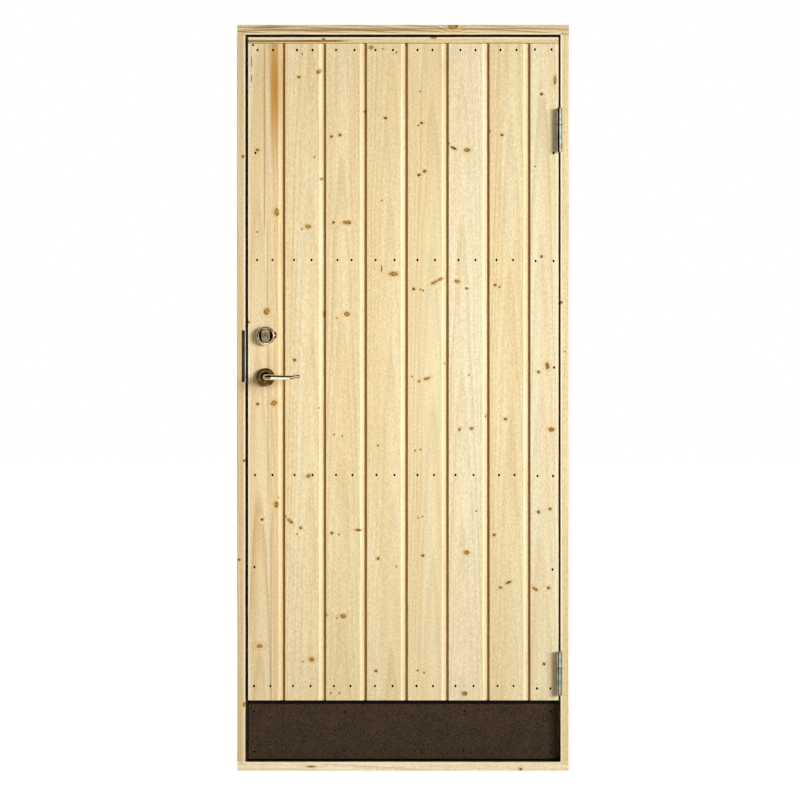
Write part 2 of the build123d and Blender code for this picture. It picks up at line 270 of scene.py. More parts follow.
@dataclass(frozen=True)
class Pine:
    """Planed bare pine: pale earlywood, thin darker latewood lines, knots and a dry, nearly matt surface."""

    name: str
    grain: Grain
    seed: float
    early: str = "#F0DEB1"
    late: str = "#C49A5E"
    warm: str = "#ECD4A1"
    pith: tuple[float, float] = (0.0, 45.0)
    ring: float = 4.4
    taper: float = 0.011
    line: float = 0.37
    rise: float = 0.45
    knots: tuple[Knot, ...] = ()
    streaks: tuple[Streak, ...] = ()

    def material(
        self, bevel: tuple[float, float] | None = None, rebate: Rebate | None = None
    ) -> Material:
        """Build the finish.

        Args:
            bevel: Where a board's bevel starts and ends on the X axis, in metres, or None.
            rebate: Where a frame member's rebate lies, or None.

        Returns:
            A material that reads Object coordinates, with its patterns in real millimetres.
        """
        made, tree, place = new_tree(self.name)
        apart = add(tree, "ShaderNodeSeparateXYZ", {0: place})
        order = (2, 1, 0) if self.grain is Grain.LEVEL else (0, 1, 2)
        axes = tuple(apart.outputs[i] for i in order)
        nearest, sound, dead = self._knot_fields(tree, place)
        lines = self._ring_lines(tree, axes, nearest)
        fibre = self._drawn_noise(tree, axes, 1.8, 150.0, 3.0)
        fleck = self._drawn_noise(tree, axes, 2.8, 6.0, 2.0)
        tone = self._drawn_noise(tree, axes, 34.0, 800.0, 2.0)
        patch = self._drawn_noise(tree, axes, 5.0, 6.0, 2.0)
        colour = blend(tree, fade(tree, tone, 0.32, 0.68, 0.0, 1.0), linear(self.early), linear(self.warm))
        dark = add(tree, "ShaderNodeMath", {0: lines, 1: self.line}, operation="MULTIPLY")
        colour = blend(tree, dark, colour, linear(self.late))
        for noise, low, high in ((fibre, 0.92, 1.07), (fleck, 0.86, 1.12)):
            shade = add(tree, "ShaderNodeMapRange", {0: noise, 1: 0.28, 2: 0.72, 3: low, 4: high})
            colour = blend(tree, 1.0, colour, shade.outputs[0], "MULTIPLY")
        for streak in self.streaks:
            colour = self._streaked(tree, colour, streak, axes, fibre)
        colour = self._knotted(tree, colour, sound, patch, ("#DEB870", "#BC8A3C", "#7C5010"))
        colour = self._knotted(tree, colour, dead, patch, ("#D2A856", "#8A5E1C", "#3E260A"))
        if bevel is not None:
            colour = self._bevelled(tree, colour, axes[0], bevel)
        if rebate is not None:
            colour = self._paint_rebate_shade(tree, colour, axes, rebate)
        height = add(tree, "ShaderNodeMath", {0: fibre, 1: 0.6, 2: lines}, operation="MULTIPLY_ADD")
        bump = add(tree, "ShaderNodeBump", {"Strength": 0.2, "Distance": 0.25 * MM, "Height": height})
        rough = add(tree, "ShaderNodeMapRange", {0: fibre, 1: 0.2, 2: 0.8, 3: 0.58, 4: 0.74})
        look = {"Base Color": colour, "Roughness": rough, "Normal": bump, "Specular IOR Level": 0.28}
        add(tree, "ShaderNodeOutputMaterial", {0: add(tree, "ShaderNodeBsdfPrincipled", look)})
        return made

    def _drawn_noise(
        self, tree: Tree, axes: tuple[Socket, ...], width: float, length: float, detail: float
    ) -> Node:
        """Add noise whose grains are drawn out along the wood's grain.

        Args:
            tree: The material's nodes.
            axes: Coordinates across the grain, into the board and along the grain.
            width: Size of a grain across, in millimetres.
            length: Size of a grain along, in millimetres.
            detail: Octaves of the noise.

        Returns:
            The noise, from 0 to 1.
        """
        scales = (1 / (width * MM), 1 / (width * MM), 1 / (length * MM))
        scaled = [
            add(tree, "ShaderNodeMath", {0: axis, 1: scale, 2: self.seed}, operation="MULTIPLY_ADD")
            for axis, scale in zip(axes, scales)
        ]
        place = add(tree, "ShaderNodeCombineXYZ", dict(enumerate(scaled)))
        return add(tree, "ShaderNodeTexNoise", {"Vector": place, "Scale": 1.0, "Detail": detail})

    def _ring_lines(self, tree: Tree, axes: tuple[Socket, ...], nearest: Node | None) -> Node:
        """Draw growth rings: the distance from a pith behind the board, sawn through at a slight taper.

        Args:
            tree: The material's nodes.
            axes: Coordinates across the grain, into the board and along the grain.
            nearest: Distance to the nearest knot in knot radii, or None.

        Returns:
            A node that is 1 on a latewood line and near 0 between lines.
        """
        across, depth, along = axes
        waver = self._drawn_noise(tree, axes, 90.0, 420.0, 2.0)
        moved = {0: waver, 1: 26 * MM, 2: -self.pith[0] * MM}
        shift = add(tree, "ShaderNodeMath", moved, operation="MULTIPLY_ADD")
        sideways = add(tree, "ShaderNodeMath", {0: across, 1: shift}, operation="ADD")
        inward = add(tree, "ShaderNodeMath", {0: depth, 1: self.pith[1] * MM}, operation="SUBTRACT")
        arm = add(tree, "ShaderNodeCombineXYZ", {0: sideways, 1: inward})
        radius = add(tree, "ShaderNodeVectorMath", {0: arm}, operation="LENGTH").outputs["Value"]
        sawn = add(tree, "ShaderNodeMath", {0: along, 1: self.taper, 2: radius}, operation="MULTIPLY_ADD")
        if nearest is not None:
            swell = fade(tree, nearest, 0.8, 3.4, 8 * MM, 0.0)
            sawn = add(tree, "ShaderNodeMath", {0: sawn, 1: swell}, operation="ADD")
        count = add(tree, "ShaderNodeMath", {0: sawn, 1: self.ring * MM}, operation="DIVIDE")
        year = add(tree, "ShaderNodeMath", {0: count}, operation="FLOOR")
        part = add(tree, "ShaderNodeMath", {0: count}, operation="FRACT")
        ramp = add(tree, "ShaderNodeValToRGB", {0: part})
        ramp.color_ramp.elements[0].color = (0, 0, 0, 1)
        ramp.color_ramp.elements[1].position = 0.84
        for position, value in ((self.rise, 0.2), (1.0, 0.05)):
            ramp.color_ramp.elements.new(position).color = (value, value, value, 1)
        strong = add(tree, "ShaderNodeTexWhiteNoise", {"W": year}, noise_dimensions="1D")
        weight = add(tree, "ShaderNodeMapRange", {0: strong, 3: 0.25, 4: 1.0})
        return add(tree, "ShaderNodeMath", {0: ramp, 1: weight}, operation="MULTIPLY")

    def _knot_fields(self, tree: Tree, place: Socket) -> tuple[Node | None, Node | None, Node | None]:
        """Measure, everywhere on the piece, how far the nearest knot is in units of that knot's radius.

        Args:
            tree: The material's nodes.
            place: Object coordinates.

        Returns:
            The distance to any knot, to a sound one, and to a dead one or pin; None where there is none.
        """
        if not self.knots:
            return None, None, None
        ragged = add(tree, "ShaderNodeTexNoise", {"Vector": place, "Scale": 1 / (5 * MM), "Detail": 2.0})
        middle = {0: ragged.outputs["Color"], 1: (0.5, 0.5, 0.5)}
        centred = add(tree, "ShaderNodeVectorMath", middle, operation="SUBTRACT")
        torn = add(tree, "ShaderNodeVectorMath", {0: centred, "Scale": 5.0 * MM}, operation="SCALE")
        moved = add(tree, "ShaderNodeVectorMath", {0: place, 1: torn}, operation="ADD")
        fields: dict[bool, Node | None] = {True: None, False: None}
        for knot in self.knots:
            wide = (knot.wide or knot.kind.value[0]) * MM
            tall = (knot.tall or knot.kind.value[1]) * MM
            held = {
                "Vector": moved,
                "Location": (PICTURE.x(knot.column), 0.0, PICTURE.z(knot.row)),
                "Rotation": (0.0, math.radians(knot.turn), 0.0),
                "Scale": (wide, 1.0, tall),
            }
            spot = add(tree, "ShaderNodeMapping", held, vector_type="TEXTURE")
            reach = add(tree, "ShaderNodeVectorMath", {0: spot}, operation="LENGTH").outputs["Value"]
            sound = knot.kind is KnotKind.SOUND
            other = 99.0 if fields[sound] is None else fields[sound]
            fields[sound] = add(tree, "ShaderNodeMath", {0: reach, 1: other}, operation="MINIMUM")
        both = dict(enumerate(found for found in fields.values() if found is not None))
        nearest = add(tree, "ShaderNodeMath", both, operation="MINIMUM") if len(both) == 2 else both[0]
        return nearest, fields[True], fields[False]

    @staticmethod
    def _knotted(
        tree: Tree, colour: Socket, reach: Node | None, patch: Node, tints: tuple[str, str, str]
    ) -> Socket:
        """Lay one kind of knot over the wood: a halo, a mottled body and a dark, uneven rim.

        Args:
            tree: The material's nodes.
            colour: The wood so far.
            reach: Distance to the nearest such knot in knot radii, or None.
            patch: Noise that breaks up the body and the rim.
            tints: Colours of the halo, the body and the rim.

        Returns:
            The wood with these knots.
        """
        if reach is None:
            return colour
        halo, body, rim = (linear(tint) for tint in tints)
        colour = blend(tree, fade(tree, reach, 0.8, 2.7, 0.5, 0.0), colour, halo)
        mottle = blend(tree, fade(tree, patch, 0.45, 0.65, 0.0, 0.8), body, rim)
        colour = blend(tree, fade(tree, reach, 0.7, 1.2, 0.95, 0.0), colour, mottle)
        off = add(tree, "ShaderNodeMath", {0: reach, 1: 0.85}, operation="SUBTRACT")
        gap = add(tree, "ShaderNodeMath", {0: off}, operation="ABSOLUTE")
        edge = fade(tree, gap, 0.0, 0.35, 1.0, 0.0)
        uneven = add(tree, "ShaderNodeMapRange", {0: patch, 1: 0.35, 2: 0.6, 3: 0.15, 4: 1.0})
        share = add(tree, "ShaderNodeMath", {0: edge, 1: uneven}, operation="MULTIPLY")
        return blend(tree, share, colour, rim)

    def _streaked(
        self, tree: Tree, colour: Socket, streak: Streak, axes: tuple[Socket, ...], fibre: Node
    ) -> Socket:
        """Draw a streak: full at its middle line, fading sideways, at both ends and with the fibres.

        Args:
            tree: The material's nodes.
            colour: The wood so far.
            streak: Where the streak is.
            axes: Coordinates across the grain, into the board and along the grain.
            fibre: Fibre noise that breaks the streak up.

        Returns:
            The wood with the streak.
        """
        half, soft = streak.width * MM / 2, streak.ends * MM
        across, along = (PICTURE.z, PICTURE.x) if self.grain is Grain.LEVEL else (PICTURE.x, PICTURE.z)
        low, high = sorted((along(streak.start), along(streak.end)))
        off = add(tree, "ShaderNodeMath", {0: axes[0], 1: across(streak.place)}, operation="SUBTRACT")
        gap = add(tree, "ShaderNodeMath", {0: off}, operation="ABSOLUTE")
        share = fade(tree, gap, half * 0.4, half, streak.strength, 0.0)
        fading = add(tree, "ShaderNodeMapRange", {0: fibre, 1: 0.2, 2: 0.7, 3: 0.55, 4: 1.1})
        for part in (
            fade(tree, axes[2], low - soft, low + soft, 0.0, 1.0),
            fade(tree, axes[2], high - soft, high + soft, 1.0, 0.0),
            fading,
        ):
            share = add(tree, "ShaderNodeMath", {0: share, 1: part}, operation="MULTIPLY", use_clamp=True)
        return blend(tree, share, colour, linear(streak.colour))

    @staticmethod
    def _bevelled(tree: Tree, colour: Socket, across: Socket, bevel: tuple[float, float]) -> Socket:
        """Paint light on a board's moulded edge: a painted highlight where the bevel starts, painted shade tan
        on the rest, and brown painted shade on the tongue in the groove.

        Args:
            tree: The material's nodes.
            colour: The wood so far.
            across: The coordinate across the board.
            bevel: Where the bevel starts and ends, in metres.

        Returns:
            The wood with its moulded edge.
        """
        start, end = bevel
        third = (end - start) / 3
        # Painted highlight: pale where the bevel starts, fading out across it.
        cut = fade(tree, across, start, start + 2 * MM, 0.0, 0.2)
        fading = fade(tree, across, start + third, end - third, 1.0, 0.0)
        pale = add(tree, "ShaderNodeMath", {0: cut, 1: fading}, operation="MULTIPLY")
        colour = blend(tree, pale, colour, linear("#FFF4D8"))
        # Painted shade: the far part of the bevel toned tan.
        tan = fade(tree, across, start + third, end - third, 0.0, 0.35)
        colour = blend(tree, tan, colour, linear("#CFB27E"))
        # Painted shade: the tongue in the groove toned brown.
        groove = fade(tree, across, end + 2 * MM, end + 3.5 * MM, 0.0, 0.75)
        return blend(tree, groove, colour, linear("#C68624"))

    @staticmethod
    def _paint_rebate_shade(tree: Tree, colour: Socket, axes: tuple[Socket, ...], rebate: Rebate) -> Socket:
        """Paint shade on the wood in the frame's rebate, up to the stop: painted shade for the deep gap round
        the leaf.

        Args:
            tree: The material's nodes.
            colour: The wood so far.
            axes: Coordinates across the grain, into the frame and along the grain.
            rebate: Where the rebate lies.

        Returns:
            The wood with its rebate.
        """
        soft = 1.5 * MM
        inward = add(tree, "ShaderNodeMath", {0: axes[0], 1: rebate.inside}, operation="MULTIPLY")
        begin = rebate.place * rebate.inside
        # Painted shade: the rebate's wood turns near black beyond the frame's front.
        share = fade(tree, axes[1], rebate.front + soft, rebate.front + 3 * soft, 0.0, 0.9)
        for part in (
            fade(tree, inward, begin - soft, begin, 0.0, 1.0),
            fade(tree, axes[1], rebate.stop - 2 * soft, rebate.stop - soft, 1.0, 0.0),
        ):
            share = add(tree, "ShaderNodeMath", {0: share, 1: part}, operation="MULTIPLY")
        return blend(tree, share, colour, linear(PAINTED_GAP_SHADE))


@dataclass(frozen=True)
class Metal:
    """A plated or bare metal: uneven tone, and fine grit in its roughness and bump."""

    name: str
    light: str
    dark: str
    smooth: float
    rough: float
    grit: float
    bump: float = 0.05

    def material(self) -> Material:
        """Build the finish, with grit of this finish's size in millimetres."""
        made, tree, place = new_tree(self.name)
        fine = add(tree, "ShaderNodeTexNoise", {"Vector": place, "Scale": 1 / (self.grit * MM), "Detail": 3.0})
        patch = 14 * self.grit * MM
        broad = add(tree, "ShaderNodeTexNoise", {"Vector": place, "Scale": 1 / patch, "Detail": 2.0})
        colour = blend(tree, fade(tree, broad, 0.3, 0.7, 0.0, 1.0), linear(self.dark), linear(self.light))
        rough = add(tree, "ShaderNodeMapRange", {0: fine, 1: 0.25, 2: 0.75, 3: self.smooth, 4: self.rough})
        bump = add(tree, "ShaderNodeBump", {"Strength": self.bump, "Distance": 0.2 * MM, "Height": fine})
        look = {"Base Color": colour, "Metallic": 1.0, "Roughness": rough, "Normal": bump}
        add(tree, "ShaderNodeOutputMaterial", {0: add(tree, "ShaderNodeBsdfPrincipled", look)})
        return made


@dataclass(frozen=True)
class Coating:
    """A dull coating or rubber: a pebbled skin whose tone wanders a little between two colours."""

    name: str
    light: str
    dark: str
    smooth: float
    rough: float
    pebble: float
    bump: float = 0.2
    gloss: float = 0.3

    def material(self, shade: tuple[float, float] | None = None) -> Material:
        """Build the finish, with pebbles of this finish's size in millimetres.

        Args:
            shade: Heights between which a painted shadow darkens the piece towards its top, in metres, or None.

        Returns:
            A material that reads Object coordinates.
        """
        made, tree, place = new_tree(self.name)
        pebbles = {"Vector": place, "Scale": 1 / (self.pebble * MM), "Detail": 2.0}
        skin = add(tree, "ShaderNodeTexNoise", pebbles)
        cloud = add(tree, "ShaderNodeTexNoise", {"Vector": place, "Scale": 1 / (40 * MM), "Detail": 3.0})
        both = add(tree, "ShaderNodeMath", {0: cloud, 1: 0.12, 2: skin}, operation="MULTIPLY_ADD")
        colour = blend(tree, fade(tree, both, 0.36, 0.76, 0.0, 1.0), linear(self.dark), linear(self.light))
        if shade is not None:
            height = add(tree, "ShaderNodeSeparateXYZ", {0: place}).outputs[2]
            # Painted shadow: near black towards the top, between the given heights.
            colour = blend(tree, fade(tree, height, *shade, 0.0, 0.95), colour, linear("#080605"))
        rough = add(tree, "ShaderNodeMapRange", {0: skin, 1: 0.25, 2: 0.75, 3: self.smooth, 4: self.rough})
        bump = add(tree, "ShaderNodeBump", {"Strength": self.bump, "Distance": 0.3 * MM, "Height": skin})
        look = {"Base Color": colour, "Roughness": rough, "Normal": bump, "Specular IOR Level": self.gloss}
        add(tree, "ShaderNodeOutputMaterial", {0: add(tree, "ShaderNodeBsdfPrincipled", look)})
        return made


def dress(frame: dict, material: Material, *nodes: str) -> None:
    """Put a finish on CAD nodes.

    Args:
        material: The finish.
        nodes: The nodes' names.
    """
    for node in nodes:
        slots = frame["nodes"][node].data.materials
        slots.clear()
        slots.append(material)
        LOG.info("%s is %s", node, material.name)


@dataclass
class Skin:
    """A surface as stacked grids of copies by u by v points, joined into one mesh.

    Faces join neighbours in u and in v. v closes on itself; u closes too, or is capped at both ends.
    """

    name: str
    places: np.ndarray
    closed_u: bool = False
    bands: np.ndarray | None = None

    def build(self, body: str, slot: str, *materials: Material) -> bpy.types.Object:
        """Make the object, facing outwards, and let it ride on a body.

        Args:
            body: The CAD body that carries it.
            slot: The record's material slot; not used.
            materials: Finishes; bands gives each row of faces the number of its finish.

        Returns:
            The object, at the origin.
        """
        copies, rows, columns, _ = self.places.shape
        u = np.arange(rows if self.closed_u else rows - 1)[:, None]
        v = np.arange(columns)
        low, high, ahead = u * columns, (u + 1) % rows * columns, (v + 1) % columns
        quads = np.stack([low + v, low + ahead, high + ahead, high + v], axis=-1).reshape(-1, 4)
        caps = np.empty((0, columns), int) if self.closed_u else np.stack([v[::-1], (rows - 1) * columns + v])
        points = self.places.reshape(-1, 3)
        corners = points[quads] - points[: rows * columns].mean(axis=0)
        spread = np.cross(corners[:, 2] - corners[:, 0], corners[:, 3] - corners[:, 1])
        if np.sum(corners.mean(axis=1) * spread) < 0:
            quads, caps = quads[:, ::-1], caps[:, ::-1]
        step = rows * columns * np.arange(copies)[:, None, None]
        sides, ends = (quads + step).reshape(-1, 4), (caps + step).reshape(-1, columns)
        mesh = bpy.data.meshes.new(self.name)
        mesh.from_pydata(points, [], [*sides.tolist(), *ends.tolist()])
        mesh.polygons.foreach_set("use_smooth", np.ones(len(mesh.polygons), dtype=bool))
        for material in materials:
            mesh.materials.append(material)
        if self.bands is not None:
            numbers = np.zeros(len(mesh.polygons), dtype=np.int32)
            numbers[: len(sides)] = np.tile(np.repeat(self.bands, columns), copies)
            mesh.polygons.foreach_set("material_index", numbers)
        mesh.update()
        made = bpy.data.objects.new(self.name, mesh)
        bpy.context.scene.collection.objects.link(made)
        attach(made, body)
        LOG.info("%s: %d faces on %s", self.name, len(mesh.polygons), body)
        return made


def turned(
    centres: np.ndarray, axis: tuple[int, int, int], outline: np.ndarray, steps: int, oval: float = 1.0
) -> np.ndarray:
    """Turn an outline of radius and height about an axis, at each of several centres.

    A point is centre + height * axis + radius * (cos a * side + oval * sin a * up), with a going once round.

    Args:
        centres: Centres as n by 3, in metres.
        axis: Unit vector along which heights are measured.
        outline: Points of radius and height, in metres.
        steps: Points round the axis.
        oval: Stretch of the second direction.

    Returns:
        Points as n by outline by steps by 3.
    """
    out = np.array(axis, dtype=float)
    up = np.array((0.0, 1.0, 0.0) if axis[2] else (0.0, 0.0, 1.0))
    side = np.cross(up, out)
    angle = np.linspace(0, 2 * np.pi, steps, endpoint=False)[:, None]
    ring = np.cos(angle) * side + oval * np.sin(angle) * up
    shape = outline[:, None, 1:] * out + outline[:, None, :1] * ring
    return np.asarray(centres, dtype=float)[:, None, None] + shape


def arc(
    centre: tuple[float, float], radii: tuple[float, float], start: float, end: float, steps: int
) -> np.ndarray:
    """Trace an elliptical arc: centre + (rx * cos a, ry * sin a), a from start to end degrees.

    Args:
        centre: The arc's centre.
        radii: Half sizes.
        start: First angle in degrees.
        end: Last angle in degrees.
        steps: Number of points.

    Returns:
        Points as steps by 2.
    """
    angle = np.radians(np.linspace(start, end, steps))
    return np.stack([centre[0] + radii[0] * np.cos(angle), centre[1] + radii[1] * np.sin(angle)], axis=-1)


def screw_places(centres: np.ndarray, axis: tuple[int, int, int], radius: float = 4.0 * MM) -> np.ndarray:
    """Shape countersunk screw heads with a cross recess.

    Height over the head is a shallow dome, less a pit that is deep where the radius is small and reaches
    further along four arms: reach = 0.34 + 0.22 * cos 4a of the head's radius.

    Args:
        centres: Centres on the face, n by 3.
        axis: Unit vector out of the face.
        radius: The head's radius.

    Returns:
        Points as n by u by v by 3.
    """
    steps = 32
    share = np.array([1.0, 1.0, 0.93, 0.8, 0.62, 0.5, 0.4, 0.3, 0.2, 0.08])
    dome = np.array([-1.0, 0.05, 0.22, 0.3, 0.34, 0.36, 0.37, 0.38, 0.38, 0.38]) * MM
    places = turned(centres, axis, np.stack([share * radius, dome], axis=-1), steps)
    arm = 0.34 + 0.22 * np.cos(4 * np.linspace(0, 2 * np.pi, steps, endpoint=False))
    pit = np.clip((arm[None, :] - share[:, None]) / 0.08, 0.0, 1.0) * 1.1 * MM
    return places - pit[None, :, :, None] * np.array(axis, dtype=float)


PIN, DEAD, SOUND = KnotKind.PIN, KnotKind.DEAD, KnotKind.SOUND

# Bare pine boards, planed: pale, matt, faintly streaked; each has its own knots where the picture shows them.
BOARDS = (
    Pine(
        "pine_board_1",
        Grain.UPRIGHT,
        1.3,
        early="#F0DCB0",
        warm="#EACD98",
        pith=(-372.0, 60.0),
        line=0.6,
        knots=(
            *knot_group(PIN, (257.5, 232), (278.5, 497.5)),
            *knot_group(DEAD, (257.5, 150), (248, 322), (257.5, 404), (262, 519.5)),
            *knot_group(
                SOUND,
                (277, 212, 7, 10), (266.5, 311.5, 7, 9, 20), (274, 403, 9, 6.5, -20),
                (276.5, 504.5, 6, 8), (259.5, 646),
            ),
        ),
        streaks=(
            Streak(264.5, 45, 230, 6.0, 0.5),
            Streak(267.5, 225, 310, 5.0, 0.4),
            Streak(268, 345, 500, 5.0, 0.35),
            Streak(271, 525, 695, 5.0, 0.4),
            Streak(275.8, 36, 135, 40.0, 1.0, "#BE8420", 150.0),
            Streak(251.5, 57, 67, 3.6, 0.9, "#6A4218", 6.0),
            Streak(251.5, 75, 82, 3.8, 0.9, "#6A4218", 6.0),
            # Painted highlight along the board's edge beside the gap.
            Streak(248.8, 42, 700, 5.0, 0.8, PAINTED_EDGE_HIGHLIGHT, 2.0),
        ),
    ),
    Pine(
        "pine_board_2",
        Grain.UPRIGHT,
        7.9,
        pith=(-235.0, 42.0),
        knots=(
            *knot_group(PIN, (302, 54), (314.5, 157), (302, 229), (319, 408), (297, 534), (302.5, 661.5)),
            *knot_group(
                DEAD,
                (299, 77, 4.2, 3.2, 25), (321.5, 179), (294.5, 360, 4.4, 3.2, 25), (284.5, 516.5),
                (300.5, 528),
            ),
            *knot_group(
                SOUND,
                (319, 71.5, 8, 5, -30), (308, 226.5), (324.5, 314, 5, 7), (308.5, 476, 6, 5),
                (290, 521, 9, 4, 40), (311.5, 659.5, 7, 6),
            ),
        ),
    ),
    Pine(
        "pine_board_3",
        Grain.UPRIGHT,
        13.1,
        pith=(-150.0, 50.0),
        knots=(
            *knot_group(
                PIN,
                (337, 318), (334, 434.5), (342, 436), (339, 534.5), (337, 618), (339.5, 693), (331, 693),
            ),
            *knot_group(
                DEAD,
                (331.5, 136.5), (340, 135), (365, 111.5), (333.5, 222.5), (332, 533), (358.5, 530, 9, 3),
                (325.5, 615),
            ),
            *knot_group(SOUND, (347, 222.5, 11, 5), (347, 314), (343, 616)),
        ),
    ),
    Pine(
        "pine_board_4",
        Grain.UPRIGHT,
        19.7,
        pith=(-20.0, 38.0),
        knots=(
            *knot_group(
                PIN,
                (382.5, 49), (396.5, 52.5), (382, 200.5), (381.5, 268.5, 1.6, 8), (378, 445.5),
                (396.5, 566.5),
            ),
            *knot_group(DEAD, (385.5, 118), (378, 558.5), (376, 671)),
            *knot_group(SOUND, (371, 47.5, 6, 5), (393.5, 274, 12, 6)),
        ),
    ),
    Pine(
        "pine_board_5",
        Grain.UPRIGHT,
        23.3,
        pith=(90.0, 44.0),
        knots=(
            *knot_group(
                PIN,
                (420.5, 91.5), (418.5, 125.5), (420.5, 289.5), (423, 290.5), (444.5, 363.5),
                (412, 376.5), (415, 450.5), (420.5, 449.5), (422.5, 516.5), (418.5, 518), (417.5, 670.5),
                (424, 672.5),
            ),
            *knot_group(
                DEAD,
                (421.5, 123), (424.5, 171.5, 5, 3.5, -20), (419, 175), (413.5, 289), (419, 381.5, 3, 3),
                (423, 555.5),
            ),
            *knot_group(
                SOUND,
                (434, 282.5, 10, 3.6, -28), (441, 279, 9, 3.4, -25), (427, 378.5, 9, 4, -18),
            ),
        ),
    ),
    Pine(
        "pine_board_6",
        Grain.UPRIGHT,
        29.9,
        early="#F2E4BD",
        warm="#EFDCAE",
        pith=(170.0, 52.0),
        knots=(
            *knot_group(PIN, (469, 375), (476.5, 511)),
            *knot_group(DEAD, (448, 143.5), (453.5, 148, 8, 3, 25), (466.5, 288.5)),
            *knot_group(
                SOUND,
                (467, 150), (457.5, 281.5, 7, 5), (459.5, 429.5, 3.5, 4.5), (471.5, 428.5, 5, 4),
                (485.5, 416, 3, 4), (466.5, 552.5), (464.5, 693.5, 7, 5),
            ),
        ),
    ),
    Pine(
        "pine_board_7",
        Grain.UPRIGHT,
        37.1,
        pith=(300.0, 40.0),
        knots=(
            *knot_group(PIN, (499.5, 287)),
            *knot_group(
                DEAD,
                (489, 131), (502, 135), (495, 285), (505.5, 419), (494, 535), (508.5, 582.5, 8, 3, -25),
                (500.5, 587.5),
            ),
        ),
    ),
    Pine(
        "pine_board_8",
        Grain.UPRIGHT,
        41.7,
        early="#F2E4BD",
        warm="#EFDCAE",
        pith=(380.0, 48.0),
        knots=(
            *knot_group(PIN, (535, 166.5)),
            *knot_group(
                DEAD,
                (541.5, 94), (541.5, 256.5), (538.5, 372), (538.5, 512), (550, 509), (548.5, 588),
                (544, 664),
            ),
            *knot_group(SOUND, (555, 80, 4, 12), (547.5, 366, 5, 9), (551.5, 429.5), (535, 589, 8, 4, 30)),
        ),
        # Painted highlight along the board's edge beside the gap.
        streaks=(Streak(556.9, 42, 700, 4.5, 0.8, PAINTED_EDGE_HIGHLIGHT, 2.0),),
    ),
)

# The frame's pine is a shade deeper, with bold level figure in the head.
HEAD = Pine(
    "pine_head",
    Grain.LEVEL,
    3.7,
    early="#EBD8AC",
    late="#7E5214",
    warm="#E6CB95",
    pith=(1952.0, 2.0),
    ring=6.5,
    taper=0.035,
    line=0.95,
    rise=0.6,
    knots=(
        *knot_group(SOUND, (453, 26, 13, 9)),
    ),
    streaks=(
        Streak(27.2, 254, 285, 6.0, 0.95, "#80500E", 40.0),
        Streak(30.2, 243, 420, 5.0, 0.85, "#8E5E16", 60.0),
        Streak(28.8, 300, 560, 4.5, 0.75, "#966820", 90.0),
        # Painted highlight along the head's lower edge beside the gap.
        Streak(33.5, 245, 561, 5.0, 0.8, PAINTED_EDGE_HIGHLIGHT, 2.0),
    ),
)
SILL = Pine(
    "pine_sill",
    Grain.LEVEL,
    53.9,
    early="#FFF0CC",
    warm="#FBE6BC",
    pith=(0.0, 30.0),
    knots=(
        *knot_group(DEAD, (520.5, 769)),
        *knot_group(SOUND, (311, 766.5, 12, 2.5)),
    ),
    streaks=(
        # Painted highlight along the sill's edge, and painted shade that widens the dark gap above it.
        Streak(763.2, 246, 561, 3.5, 0.8, PAINTED_EDGE_HIGHLIGHT, 2.0),
        Streak(761.5, 246, 561, 3.0, 0.9, PAINTED_GAP_SHADE, 2.0),
    ),
)
TOP_STRIP = Pine(
    "pine_top_strip",
    Grain.LEVEL,
    61.1,
    early="#E6CE9C",
    pith=(1990.0, 20.0),
    knots=(
        *knot_group(DEAD, (323.5, 39.5)),
        *knot_group(SOUND, (433.5, 37.5, 7, 4)),
    ),
    streaks=(
        # Painted highlight along the strip's top edge beside the gap.
        Streak(38.2, 248, 560, 5.0, 0.8, "#FFF3D4", 2.0),
        # Painted shade along the joint between the strip and the boards.
        Streak(41.0, 240, 345, 6.5, 1.0, "#7A4508"),
    ),
)
LOCK_JAMB = Pine(
    "pine_lock_jamb",
    Grain.UPRIGHT,
    67.3,
    early="#E6D0A2",
    warm="#DDBC88",
    pith=(-470.0, 10.0),
    line=0.5,
    streaks=(
        # Painted highlight along the jamb's edge, and painted shade that widens the dark gap beside it.
        Streak(244.2, 34, 762, 5.5, 0.8, PAINTED_EDGE_HIGHLIGHT, 2.0),
        Streak(245.7, 34, 762, 3.4, 0.9, PAINTED_GAP_SHADE, 2.0),
        # Painted shade in the strike's slot, where the plate's lip casts its shadow.
        Streak(242.8, 330.5, 382, 9.0, 0.85, "#5A3A18", 2.0),
    ),
    knots=(
        *knot_group(DEAD, (243, 156.5), (244.5, 460.5), (239, 559.5)),
        *knot_group(SOUND, (244.5, 704.5, 5, 6)),
    ),
)
HINGE_JAMB = Pine(
    "pine_hinge_jamb",
    Grain.UPRIGHT,
    71.9,
    pith=(480.0, 10.0),
    knots=(
        *knot_group(PIN, (565, 351.5)),
        *knot_group(DEAD, (561, 302.5)),
    ),
    # Painted highlight along the jamb's edge beside the gap.
    streaks=(Streak(561.5, 34, 762, 5.0, 0.8, PAINTED_EDGE_HIGHLIGHT, 2.0),),
)
# Framing behind the boards, which the photograph does not show: the same pine, a little bolder.
FRAMING_UPRIGHT = Pine(
    "pine_framing_upright",
    Grain.UPRIGHT,
    83.3,
    pith=(0.0, 60.0),
    line=0.42,
    knots=(
        *knot_group(DEAD, (275, 245), (534, 180), (530, 640)),
        *knot_group(SOUND, (262, 120), (258, 468, 9, 6), (270, 610), (548, 330, 9, 7), (540, 520)),
    ),
)
FRAMING_LEVEL = Pine(
    "pine_framing_level",
    Grain.LEVEL,
    89.9,
    pith=(900.0, 60.0),
    line=0.42,
    knots=(
        *knot_group(DEAD, (460, 48), (360, 472), (480, 735)),
        *knot_group(SOUND, (330, 55), (420, 262, 9, 7), (390, 715)),
    ),
)

# Bright zinc on rolled steel: cool grey, softly mirrored, with a faint spangle.
ZINC = Metal("zinc_plated_steel", "#DEE8F2", "#B2C0CC", 0.07, 0.14, 1.2)
